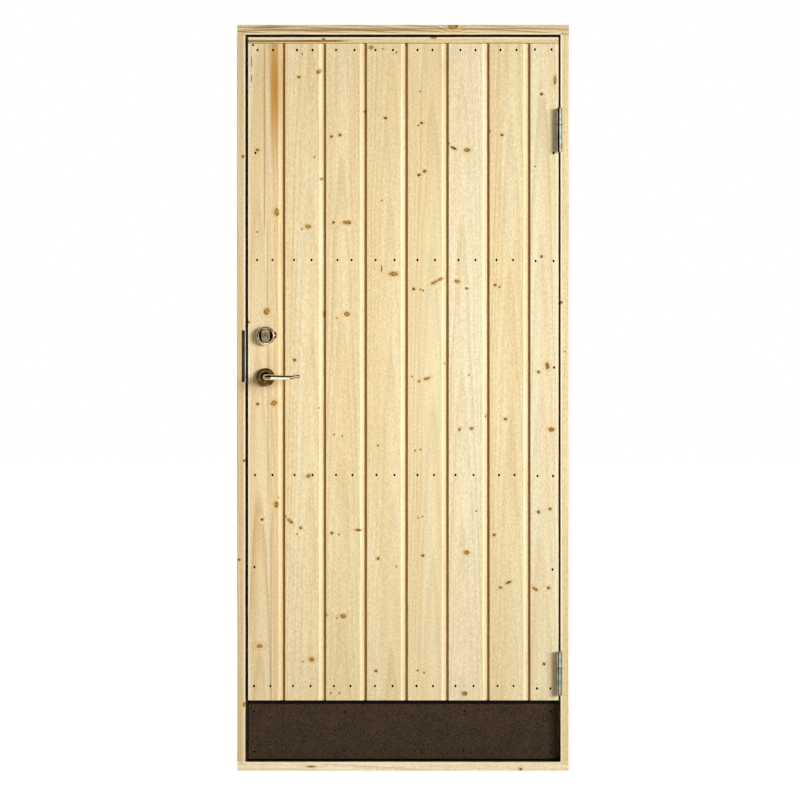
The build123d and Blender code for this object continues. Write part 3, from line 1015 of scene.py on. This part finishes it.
# Nickel plate on brass, satin: warm silver with a tight highlight.
NICKEL = Metal("satin_nickel", "#F8F2E4", "#E8E0D0", 0.06, 0.12, 0.5, 0.02)
# Handled nickel on the cylinder: grey, scuffed and stained in patches.
WORN = Metal("worn_nickel", "#DCD2BE", "#968A74", 0.2, 0.36, 1.2, 0.04)
# Nickel on the roses painted dark brown: a painted reflection of the dark room it mirrors, near black.
NICKEL_PAINTED_DARK = Metal("nickel_painted_dark_reflection", "#A08458", "#5C4A2C", 0.2, 0.34, 0.6, 0.03)
# Near-black metal: painted shade in the lock's mouth and a painted dark reflection on the lug's flanks; on the
# key plug's rim it is the plug's dark joint.
BLACK_SHADE_AND_JOINT = Metal("black_painted_shade_and_joint", "#3A2C20", "#1C150E", 0.35, 0.5, 0.8, 0.03)
# Blued nail steel, punched flush: small dark dots.
NAIL_STEEL = Metal("blued_nail_steel", "#1E1914", "#120E0A", 0.55, 0.7, 1.0)
# Plastic-coated brown sheet: matt, finely pebbled; the pebble is drawn 2.2 mm coarse so that it shows.
BROWN_SHEET = Coating("brown_coated_sheet", "#504030", "#291F17", 0.5, 0.65, 2.2, 0.25, 0.14)
# Black sealing rubber: dull, the darkest thing on the door; its black also stands in for the deep shade in the
# gap round the leaf, a painted shade.
SEAL_RUBBER_AND_GAP_SHADE = Coating("black_seal_rubber_and_gap_shade", "#191816", "#0F0E0D", 0.55, 0.7, 1.0, 0.1, 0.2)


@dataclass
class OuterFrame:
    """The rebated pine frame with its strike plate, and the rubber seal on its stop."""

    frame: dict
    seal_width: float = 8 * MM
    seal_thickness: float = 3.4 * MM
    seal_set_in: float = 2.5 * MM
    stop_overlap: float = 19 * MM
    stop_gap: float = 5 * MM
    edge: float = 1 * MM
    screw_levels: tuple[float, float] = (1092 * MM, 1114 * MM)
    screw_depth: float = -8 * MM

    def dress(self, zinc: Material) -> None:
        """Put the finishes on the frame's nodes."""
        front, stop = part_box("head")[0].y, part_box("lock_stile")[1].y + self.stop_gap
        for node, pine, place, inside in (
            ("head", HEAD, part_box("head")[0].z + self.stop_overlap, -1),
            ("sill", SILL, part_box("sill")[1].z - self.stop_overlap, 1),
            ("lock_jamb", LOCK_JAMB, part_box("lock_jamb")[1].x - self.stop_overlap - self.edge, 1),
            ("hinge_jamb", HINGE_JAMB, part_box("hinge_jamb")[0].x + self.stop_overlap, -1),
        ):
            dress(self.frame, pine.material(None, Rebate(place, inside, front, stop)), node)
        dress(self.frame, zinc, "strike_plate")

    def build_seal(self) -> None:
        """Run a half-round rubber seal round the stop, mitred at the corners.

        The profile is half an ellipse on the stop. Each of its points is carried round a rectangle that is
        inset from the rebate by that point's distance from the rebate's side.
        """
        low_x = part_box("lock_jamb")[1].x - self.stop_overlap
        high_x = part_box("hinge_jamb")[0].x + self.stop_overlap
        low_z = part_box("sill")[1].z - self.stop_overlap
        high_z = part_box("head")[0].z + self.stop_overlap
        stop_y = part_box("lock_stile")[1].y + self.stop_gap
        half = self.seal_width / 2
        section = arc((self.seal_set_in + half, 0.0), (half, self.seal_thickness), 0, 180, 13)
        inset, rise = section[:, :1], section[:, 1:]
        sign_x, sign_z = np.array([-1, 1, 1, -1]), np.array([-1, -1, 1, 1])
        places = np.empty((1, len(section), 4, 3))
        places[0, ..., 0] = (low_x + high_x) / 2 + sign_x * ((high_x - low_x) / 2 - inset)
        places[0, ..., 1] = stop_y - rise
        places[0, ..., 2] = (low_z + high_z) / 2 + sign_z * ((high_z - low_z) / 2 - inset)
        # The seal's black, seen through the gap, also serves as painted shade for the gap.
        Skin("door_seal", places, True).build("frame", "dark_rose", SEAL_RUBBER_AND_GAP_SHADE.material())

    def build_screws(self, zinc: Material) -> None:
        """Sink two screws into the strike plate, between its windows."""
        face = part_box("strike_plate")[1].x
        centres = np.array([(face, self.screw_depth, level) for level in self.screw_levels])
        Skin("strike_screws", screw_places(centres, (1, 0, 0))).build("frame", "zinc_steel", zinc)


@dataclass
class BoardedLeaf:
    """The boards on their framing, the strip and kick plate, and the nails that hold them."""

    frame: dict
    tongue: float = 8 * MM
    groove: float = 7 * MM
    bevel: float = 12 * MM
    nail_width: float = 2.9 * MM
    nail_height: float = 3.6 * MM
    nail_proud: float = 0.2 * MM
    plate_nail: float = 2.6 * MM
    # Height of the painted shadow that the boards' lower ends cast on the kick plate.
    painted_shadow_depth: float = 13 * MM

    ROWS = (
        (50, (257.5, 273, 297, 312.5, 336, 354.5, 375.5, 393, 417.5, 432.5, 460.5, 475.5, 500.5, 516.5)),
        (260, (257, 272.5, 294, 311.5, 337.5, 351.5, 375.5, 394.5, 417.5, 435, 458.5, 475.5, 496.5, 513)),
        (475, (255, 272.5, 294.5, 312.5, 336, 352.5, 376.5, 394.5, 417.5, 434, 455.5, 473.5, 499, 514.5)),
        (686, (254, 270.5, 293, 310.5, 334, 350.5, 375, 392.5, 416.5, 433, 455.5, 473.5, 497.5, 513.5)),
    )
    EDGES = (
        (535, 49.5),
        (551.5, 49.5),
        (535.5, 261),
        (553.5, 261),
        (537.5, 476),
        (553, 476),
        (537, 688.5),
        (550.5, 688.5),
        (255.5, 153),
        (254.5, 567),
        (553.5, 153),
        (554, 367.5),
        (552.5, 569.5),
        (253, 45),
    )
    PLATE = (
        (254, 712),
        (345, 712.5),
        (464.5, 712),
        (551, 712),
        (254, 752.5),
        (344, 751.5),
        (463.5, 751),
        (551, 753),
    )

    def dress(self) -> None:
        """Put the finishes on the leaf's nodes."""
        for number, pine in enumerate(BOARDS, 1):
            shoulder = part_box(f"board_{number}")[1].x - self.tongue - self.groove
            moulded = None if number == len(BOARDS) else (shoulder - self.bevel, shoulder)
            dress(self.frame, pine.material(moulded), f"board_{number}")
        dress(self.frame, TOP_STRIP.material(), "top_strip")
        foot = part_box("board_2")[0].z
        # The kick plate gets a painted shadow under the boards' lower ends.
        dress(self.frame, BROWN_SHEET.material((foot - self.painted_shadow_depth, foot - 0.8 * self.painted_shadow_depth)), "kick_plate")
        dress(self.frame, FRAMING_UPRIGHT.material(), "lock_stile", "hinge_stile")
        dress(self.frame, FRAMING_LEVEL.material(), "top_rail", "upper_rail", "lower_rail", "bottom_rail")

    def build_nails(self, steel: Material) -> None:
        """Punch the boards' nails flush: an oval dish turned at each place."""
        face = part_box("board_2")[0].y
        spots = [(column, row) for row, columns in self.ROWS for column in columns] + list(self.EDGES)
        centres = np.array([(PICTURE.x(column), face, PICTURE.z(row)) for column, row in spots])
        share = np.array([1.0, 1.0, 0.85, 0.5, 0.1]) * self.nail_width
        rise = np.array([-6.0, 0.25, 1.0, 0.4, 0.3]) * self.nail_proud
        outline = np.stack([share, rise], axis=-1)
        places = turned(centres, (0, -1, 0), outline, 12, self.nail_height / self.nail_width)
        Skin("board_nails", places).build("leaf", "zinc_steel", steel)

    def build_plate_nails(self, steel: Material) -> None:
        """Set round-headed nails in the kick plate: a quarter-ellipse outline turned at each place."""
        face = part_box("kick_plate")[0].y
        centres = np.array([(PICTURE.x(column), face, PICTURE.z(row)) for column, row in self.PLATE])
        dome = arc((0.0, 0.0), (self.plate_nail, 0.5 * self.plate_nail), 0, 84, 7)
        outline = np.concatenate([[(self.plate_nail, -0.8 * MM)], dome])
        Skin("plate_nails", turned(centres, (0, -1, 0), outline, 16)).build("leaf", "zinc_steel", steel)


@dataclass
class Hinges:
    """Both lift-off hinges, with the turned collar on the upper barrels and the screws in the wings."""

    frame: dict
    collar_level: float = 14 * MM
    collar_width: float = 1.6 * MM
    collar_proud: float = 0.15 * MM
    screw_spread: float = 42 * MM
    screw_depths: tuple[float, float, float] = (25 * MM, 27 * MM, 25 * MM)
    gap: float = 5 * MM

    SIDES = ("upper", "lower")

    def dress(self, zinc: Material) -> None:
        """Put zinc on all four halves."""
        for side in self.SIDES:
            dress(self.frame, zinc, f"{side}_hinge_leaf_half", f"{side}_hinge_frame_half")

    def build_collars(self, steel: Material) -> None:
        """Lay a dark collar round each upper barrel: a low band turned about the barrel's axis."""
        boxes = [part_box(f"{side}_hinge_leaf_half") for side in self.SIDES]
        radius = (boxes[0][1].x - boxes[0][0].x) / 2
        centres = np.array(
            [
                ((low.x + high.x) / 2, low.y + radius, (low.z + high.z) / 2 + self.collar_level)
                for low, high in boxes
            ]
        )
        half, proud = self.collar_width / 2, radius + self.collar_proud
        outline = np.array([(radius - half, -half), (proud, -half), (proud, half), (radius - half, half)])
        Skin("hinge_collars", turned(centres, (0, 0, 1), outline, 40), True).build("leaf", "zinc_steel", steel)

    def build_screws(self, zinc: Material) -> None:
        """Sink three screws into each wing, on the faces that the open door shows."""
        edge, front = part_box("hinge_stile")[1].x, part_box("board_8")[0].y
        for half, body, face, out in (("leaf", "leaf", edge, 1), ("frame", "frame", edge + self.gap, -1)):
            centres = []
            for side in self.SIDES:
                low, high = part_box(f"{side}_hinge_{half}_half")
                for step, depth in zip((-1, 0, 1), self.screw_depths):
                    centres.append((face, front + depth, (low.z + high.z) / 2 + step * self.screw_spread))
            places = screw_places(np.array(centres), (out, 0, 0))
            Skin(f"hinge_{half}_screws", places).build(body, "zinc_steel", zinc)


@dataclass
class LockSet:
    """The cylinder in its ring, the lever handles on their roses, and the mortise lock in the stile."""

    frame: dict
    ring_radius: float = 26.5 * MM
    ring_height: float = 15 * MM
    ring_foot: float = 3 * MM
    ring_crest: float = 20 * MM
    ring_mouth: float = 18.4 * MM
    ring_floor: float = 1 * MM
    lug_aside: float = 24 * MM
    lug_up: float = 1 * MM
    lug_half_width: float = 4.8 * MM
    lug_half_height: float = 9.6 * MM
    lug_proud: float = 13 * MM
    lug_round: float = 3 * MM
    oval_half: float = 11.2 * MM
    plug_radius: float = 6.8 * MM
    plug_drop: float = 6 * MM
    rose_radius: float = 24.5 * MM
    rose_height: float = 10 * MM
    rose_bore: float = 9.65 * MM
    rose_round: float = 4 * MM
    neck_radius: float = 9.25 * MM
    neck_length: float = 22 * MM
    lever_root: float = 7.3 * MM
    lever_tip: float = 6.3 * MM
    lever_stand_out: float = 52 * MM
    lever_seat: float = 2 * MM
    lever_reach: float = 68 * MM
    lever_rise: float = -1.5 * MM
    lever_lift: float = 5 * MM
    lever_return: float = 25 * MM
    lever_return_depth: float = 16 * MM
    neck_bend: float = 17 * MM
    end_bend: float = 22 * MM
    forend_reach: float = 108 * MM

    def dress(self, zinc: Material, nickel: Material) -> None:
        """Put the finishes on the nodes that stay as they are."""
        dress(self.frame, zinc, "lock_case", "latch_bolt", "dead_bolt", "spindle")
        dress(self.frame, nickel, "turn_rose", "thumb_turn")
        dress(self.frame, WORN.material(), "lock_cylinder")

    def build_ring(self, nickel: Material, black_shade_and_joint: Material) -> None:
        """Turn the cylinder's ring: a bellied rim, a rounded lip and a deep mouth round the oval."""
        low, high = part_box("cylinder_ring")
        centre = np.array([((low.x + high.x) / 2, low.y + self.ring_height, (low.z + high.z) / 2)])
        lip = self.ring_crest - self.ring_mouth
        rise = self.ring_height - self.ring_foot
        belly = arc((self.ring_crest, self.ring_foot), (self.ring_radius - self.ring_crest, rise), 0, 90, 14)
        inner = arc((self.ring_crest, self.ring_height - lip), (lip, lip), 90, 180, 8)
        well = np.array([(self.ring_mouth, 2 * self.ring_floor), (self.ring_mouth, self.ring_floor)])
        floor = np.array([(self.ring_mouth - lip, self.ring_floor), (self.oval_half, self.ring_floor)])
        under = np.array([(self.oval_half, 0.0), (self.ring_radius, 0.0)])
        outline = np.concatenate([belly, inner[1:], well, floor, under])
        bands = np.zeros(len(outline), dtype=np.int32)
        # The mouth's well and floor take the near-black metal: painted shade in the recess.
        bands[len(belly) + len(inner) - 2 : -2] = 1
        skin = Skin("cylinder_ring_turned", turned(centre, (0, -1, 0), outline, 96), True, bands)
        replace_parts(skin.build("leaf", "nickel", nickel, black_shade_and_joint), "cylinder_ring")

    def build_lug(self, nickel: Material, black_shade_and_joint: Material) -> None:
        """Turn the oval lug on the ring's right flank: a straight wall, a rounded edge and a flat face."""
        low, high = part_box("cylinder_ring")
        middle_x, middle_z = (low.x + high.x) / 2, (low.z + high.z) / 2
        centre = np.array([(middle_x + self.lug_aside, low.y + self.ring_height, middle_z + self.lug_up)])
        inner, rise = self.lug_half_width - self.lug_round, self.lug_proud - self.lug_round
        edge = arc((inner, rise), (self.lug_round, self.lug_round), 0, 90, 8)
        outline = np.concatenate([[(self.lug_half_width, 0.0)], edge])
        # The lug's wall and rounded edge take the near-black metal, a painted dark reflection; its flat face
        # stays nickel.
        bands = np.ones(len(outline) - 1, dtype=np.int32)
        oval = self.lug_half_height / self.lug_half_width
        skin = Skin("ring_lug", turned(centre, (0, -1, 0), outline, 48, oval), bands=bands)
        skin.build("leaf", "nickel", nickel, black_shade_and_joint)

    def build_plug_rim(self, black_shade_and_joint: Material) -> None:
        """Mark the key plug on the oval's face: a thin dark ring, turned."""
        low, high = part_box("lock_cylinder")
        centre = np.array([((low.x + high.x) / 2, low.y, (low.z + high.z) / 2 - self.plug_drop)])
        inner, outer = self.plug_radius - 0.8 * MM, self.plug_radius
        sunk, proud = -0.3 * MM, 0.12 * MM
        outline = np.array([(inner, sunk), (outer, sunk), (outer, proud), (inner, proud)])
        skin = Skin("key_plug_rim", turned(centre, (0, -1, 0), outline, 40), True)
        skin.build("leaf", "dark_rose", black_shade_and_joint)

    def build_roses(self, painted_dark_nickel: Material) -> None:
        """Turn both lever roses: a flat disc with a quarter-round edge and a bore for the neck."""
        corner = 0.3 * MM
        flat = self.rose_radius - self.rose_round
        edge = arc((flat, self.rose_height - self.rose_round), (self.rose_round, self.rose_round), 0, 90, 9)
        bore = (
            (flat - corner, self.rose_height),
            (self.rose_bore + corner, self.rose_height),
            (self.rose_bore, self.rose_height - corner),
            (self.rose_bore, 0.0),
        )
        outline = np.concatenate([[(self.rose_radius, 0.0)], edge, bore])
        for side, out in (("outer", -1), ("inner", 1)):
            low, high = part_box(f"{side}_rose")
            base = high.y if out < 0 else low.y
            centre = np.array([((low.x + high.x) / 2, base, (low.z + high.z) / 2)])
            # The roses take nickel painted dark: a painted reflection of the dark room.
            skin = Skin(f"{side}_rose_turned", turned(centre, (0, out, 0), outline, 96), True)
            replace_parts(skin.build("leaf", "dark_rose", painted_dark_nickel), f"{side}_rose")

    def build_levers(self, nickel: Material) -> None:
        """Bend both levers: a round section carried along a line with two bends, tapering to a rounded end.

        The section's radius falls evenly from the neck's bend to the tip, and over the last tip radius it
        closes as a circle does, radius * sqrt(1 - t * t).
        """
        line, heading, run = self._lever_line()
        grip = np.clip((run - self.lever_stand_out) / (run[-1] - self.lever_stand_out), 0.0, 1.0)
        radius = self.lever_root + (self.lever_tip - self.lever_root) * grip
        radius = np.where(run < self.neck_length, self.neck_radius, radius)
        closing = np.clip((run - run[-1] + self.lever_tip) / self.lever_tip, 0.0, 0.998)
        radius = (radius * np.sqrt(1 - closing**2))[:, None]
        square = np.stack([-heading[:, 1], heading[:, 0]], axis=-1)
        angle = np.linspace(0, 2 * np.pi, 40, endpoint=False)
        plan = line[:, None] + (radius * np.cos(angle))[..., None] * square[:, None]
        lift = np.clip((line[:, :1] - self.lever_reach) / self.lever_return, 0.0, 1.0)
        slope = self.lever_rise / self.lever_reach
        climb = line[:, :1] * slope + self.lever_lift * lift + radius * np.sin(angle)
        for side, out in (("outer", -1), ("inner", 1)):
            low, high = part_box(f"{side}_rose")
            base = high.y if out < 0 else low.y
            places = np.empty((1, *climb.shape, 3))
            places[0, ..., 0] = (low.x + high.x) / 2 + plan[..., 0]
            places[0, ..., 1] = base + out * plan[..., 1]
            places[0, ..., 2] = (low.z + high.z) / 2 + climb
            made = Skin(f"{side}_lever_bent", places).build("lever_set", "nickel", nickel)
            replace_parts(made, f"{side}_lever")

    def _lever_line(self) -> tuple[np.ndarray, np.ndarray, np.ndarray]:
        """Trace the lever's middle line in plan, as lengths along the door and out of it.

        It goes straight out, through a quarter turn, along the grip, through a smaller turn back towards
        the door, and to the end.

        Returns:
            Points, unit headings and the length run so far.
        """
        turn_back = math.atan2(self.lever_return_depth, self.lever_return)
        lead = self.end_bend * math.tan(turn_back / 2)
        last = math.hypot(self.lever_return, self.lever_return_depth) - lead
        parts = (
            (self.lever_stand_out - self.neck_bend - self.lever_seat, 0.0, 12),
            (self.neck_bend * math.pi / 2, -math.pi / 2, 20),
            (self.lever_reach - self.neck_bend - lead, 0.0, 12),
            (self.end_bend * turn_back, -turn_back, 12),
            (last - self.lever_tip, 0.0, 8),
        )
        runs = [np.full(steps, size / steps) for size, _, steps in parts]
        runs.append(self.lever_tip * np.diff(np.sin(np.linspace(0, np.pi / 2, 13))))
        runs = np.concatenate(runs)
        turns = np.zeros(len(runs))
        turns[: sum(steps for *_, steps in parts)] = np.concatenate(
            [np.full(steps, turn / steps) for _, turn, steps in parts]
        )
        bearing = math.pi / 2 + np.cumsum(turns)
        middle = bearing - turns / 2
        moves = runs[:, None] * np.stack([np.cos(middle), np.sin(middle)], axis=-1)
        start = np.array([(0.0, self.lever_seat)])
        line = np.concatenate([start, start + np.cumsum(moves, axis=0)])
        bearing = np.concatenate([[math.pi / 2], bearing])
        heading = np.stack([np.cos(bearing), np.sin(bearing)], axis=-1)
        return line, heading, np.concatenate([[0.0], np.cumsum(runs)])

    def build_forend_screws(self, zinc: Material) -> None:
        """Sink a screw into each end of the lock's forend."""
        low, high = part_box("lock_case")
        middle = (low.z + high.z) / 2
        levels = (middle - self.forend_reach, middle + self.forend_reach)
        centres = np.array([(low.x, (low.y + high.y) / 2, level) for level in levels])
        Skin("forend_screws", screw_places(centres, (-1, 0, 0))).build("leaf", "zinc_steel", zinc)


@dataclass
class Studio:
    """White floor and background, a soft key from the right, a back light, and a camera square on.

    A light's place is its turn to the right and its rise, in degrees, and its distance in metres.
    """

    distance: float = 8.0
    frame_size: int = 800
    aim: float = 1.1
    key_power: float = 4150.0
    key_place: tuple[float, float, float] = (54.0, 10.0, 7.0)
    key_radius: float = 1.9
    key_cone: float = 36.0
    key_colour: tuple[float, float, float] = (0.95, 1.0, 1.1)
    back_power: float = 200.0
    back_place: tuple[float, float, float] = (160.0, 30.0, 6.0)
    back_size: float = 3.0
    floor_half: float = 40.0
    floor_glow: float = 0.93
    room_tint: Colour = (1.0, 0.9, 0.72, 1.0)

    def build(self, face: float) -> None:
        """Set up floor, world, lights and camera.

        Args:
            face: Y of the door's front face.
        """
        self._floor()
        self._world()
        key = bpy.data.lights.new("key", "SPOT")
        key.energy, key.shadow_soft_size = self.key_power, self.key_radius
        key.spot_size, key.spot_blend = math.radians(self.key_cone), 1.0
        key.color = self.key_colour
        # The metals mirror the room alone, so the key has no highlight of its own.
        self._hang(key, *self.key_place).visible_glossy = False
        back = bpy.data.lights.new("back", "AREA")
        back.energy, back.size = self.back_power, self.back_size
        self._hang(back, *self.back_place)
        self._camera(face)
        bpy.context.scene.view_settings.view_transform = "Standard"

    def _floor(self) -> None:
        """Lay a plain white floor that runs into the background."""
        mesh = bpy.data.meshes.new("floor")
        half = self.floor_half
        corners = [(-half, -half, 0), (half, -half, 0), (half, half, 0), (-half, half, 0)]
        mesh.from_pydata(corners, [], [(0, 1, 2, 3)])
        floor = bpy.data.objects.new("floor", mesh)
        bpy.context.scene.collection.objects.link(floor)
        paint = bpy.data.materials.new("white_floor")
        paint.use_nodes = True
        shader = paint.node_tree.nodes["Principled BSDF"]
        shader.inputs["Base Color"].default_value = linear("#F4F4F4")
        shader.inputs["Roughness"].default_value = 0.9
        shader.inputs["Emission Color"].default_value = (1, 1, 1, 1)
        shader.inputs["Emission Strength"].default_value = self.floor_glow
        mesh.materials.append(paint)
        floor.visible_diffuse = floor.visible_glossy = False

    def _world(self) -> None:
        """Surround the door with a room that is bright on the right and below, and dim elsewhere.

        Brightness goes by the direction's parts: x to the right, y away from the camera and z up. The
        background itself shows plain white.
        """
        world = bpy.data.worlds.new("studio")
        world.use_nodes = True
        tree = world.node_tree
        tree.nodes.clear()
        way = add(tree, "ShaderNodeSeparateXYZ", {0: add(tree, "ShaderNodeTexCoord").outputs["Generated"]})
        # Upper half: bright from straight ahead round to the right, under a dark and tilted ceiling.
        right = fade(tree, way.outputs[0], -0.14, -0.06, 0.03, 1.1)
        far = fade(tree, way.outputs[0], 0.94, 0.995, 1.0, 0.12)
        tilted = {0: way.outputs[0], 1: -0.4, 2: way.outputs[2]}
        height = add(tree, "ShaderNodeMath", tilted, operation="MULTIPLY_ADD")
        above = fade(tree, height, 0.05, 0.18, 1.0, 0.05)
        upper = add(tree, "ShaderNodeMath", {0: right, 1: far}, operation="MULTIPLY")
        upper = add(tree, "ShaderNodeMath", {0: upper, 1: above}, operation="MULTIPLY")
        # Lower half: a bright pool in front of the door on a dimmer ground.
        aside = add(tree, "ShaderNodeMath", {0: way.outputs[0]}, operation="ABSOLUTE")
        ground = fade(tree, aside, 0.12, 0.3, 1.25, 0.28)
        level = fade(tree, way.outputs[2], -0.12, -0.04, 1.0, 0.0)
        room = add(tree, "ShaderNodeMix", {0: level, 2: upper, 3: ground})
        # Behind the door: an even grey.
        behind = fade(tree, way.outputs[1], 0.0, 0.3, 0.0, 1.0)
        room = add(tree, "ShaderNodeMix", {0: behind, 2: room, 3: 0.35})
        ray = add(tree, "ShaderNodeLightPath").outputs["Is Camera Ray"]
        strength = add(tree, "ShaderNodeMath", {0: room, 1: ray}, operation="MAXIMUM")
        tint = blend(tree, ray, self.room_tint, (1, 1, 1, 1))
        light = add(tree, "ShaderNodeBackground", {"Color": tint, "Strength": strength})
        add(tree, "ShaderNodeOutputWorld", {0: light})
        bpy.context.scene.world = world

    def _hang(self, lamp: bpy.types.Light, turn: float, rise: float, distance: float) -> bpy.types.Object:
        """Hang a light so that it looks at the door's middle.

        Args:
            lamp: The light.
            turn: Degrees to the right of the door's front.
            rise: Degrees above the horizon.
            distance: Metres from the door's middle.

        Returns:
            The light's object.
        """
        held = bpy.data.objects.new(lamp.name, lamp)
        around, above = math.radians(turn), math.radians(rise)
        flat = distance * math.cos(above)
        height = self.aim + distance * math.sin(above)
        held.location = (flat * math.sin(around), -flat * math.cos(around), height)
        held.rotation_euler = (math.pi / 2 - above, 0.0, around)
        bpy.context.scene.collection.objects.link(held)
        return held

    def _camera(self, face: float) -> None:
        """Put the camera square on, so that the frame has the picture's scale on the door's face.

        Args:
            face: Y of the door's front face.
        """
        lens = bpy.data.cameras.new("camera")
        lens.sensor_width = 36.0
        lens.lens = lens.sensor_width * self.distance / (self.frame_size * PICTURE.pitch)
        held = bpy.data.objects.new("camera", lens)
        middle = self.frame_size / 2
        held.location = (PICTURE.x(middle), face - self.distance, PICTURE.z(middle))
        held.rotation_euler = (math.pi / 2, 0.0, 0.0)
        bpy.context.scene.collection.objects.link(held)
        bpy.context.scene.camera = held


def main() -> None:
    """Load the frame, dress every piece, add the small hardware and set up the studio."""
    logging.basicConfig(level=logging.INFO)
    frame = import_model()
    zinc, nickel, steel, black_shade_and_joint = (metal.material() for metal in (ZINC, NICKEL, NAIL_STEEL, BLACK_SHADE_AND_JOINT))
    outer = OuterFrame(frame)
    outer.dress(zinc)
    outer.build_seal()
    outer.build_screws(zinc)
    leaf = BoardedLeaf(frame)
    leaf.dress()
    leaf.build_nails(steel)
    leaf.build_plate_nails(steel)
    hinges = Hinges(frame)
    hinges.dress(zinc)
    hinges.build_collars(steel)
    hinges.build_screws(zinc)
    lock = LockSet(frame)
    lock.dress(zinc, nickel)
    lock.build_ring(nickel, black_shade_and_joint)
    lock.build_plug_rim(black_shade_and_joint)
    lock.build_lug(nickel, black_shade_and_joint)
    lock.build_roses(NICKEL_PAINTED_DARK.material())
    lock.build_levers(nickel)
    lock.build_forend_screws(zinc)
    Studio().build(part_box("board_2")[0].y)


if __name__ == "__main__":
    main()
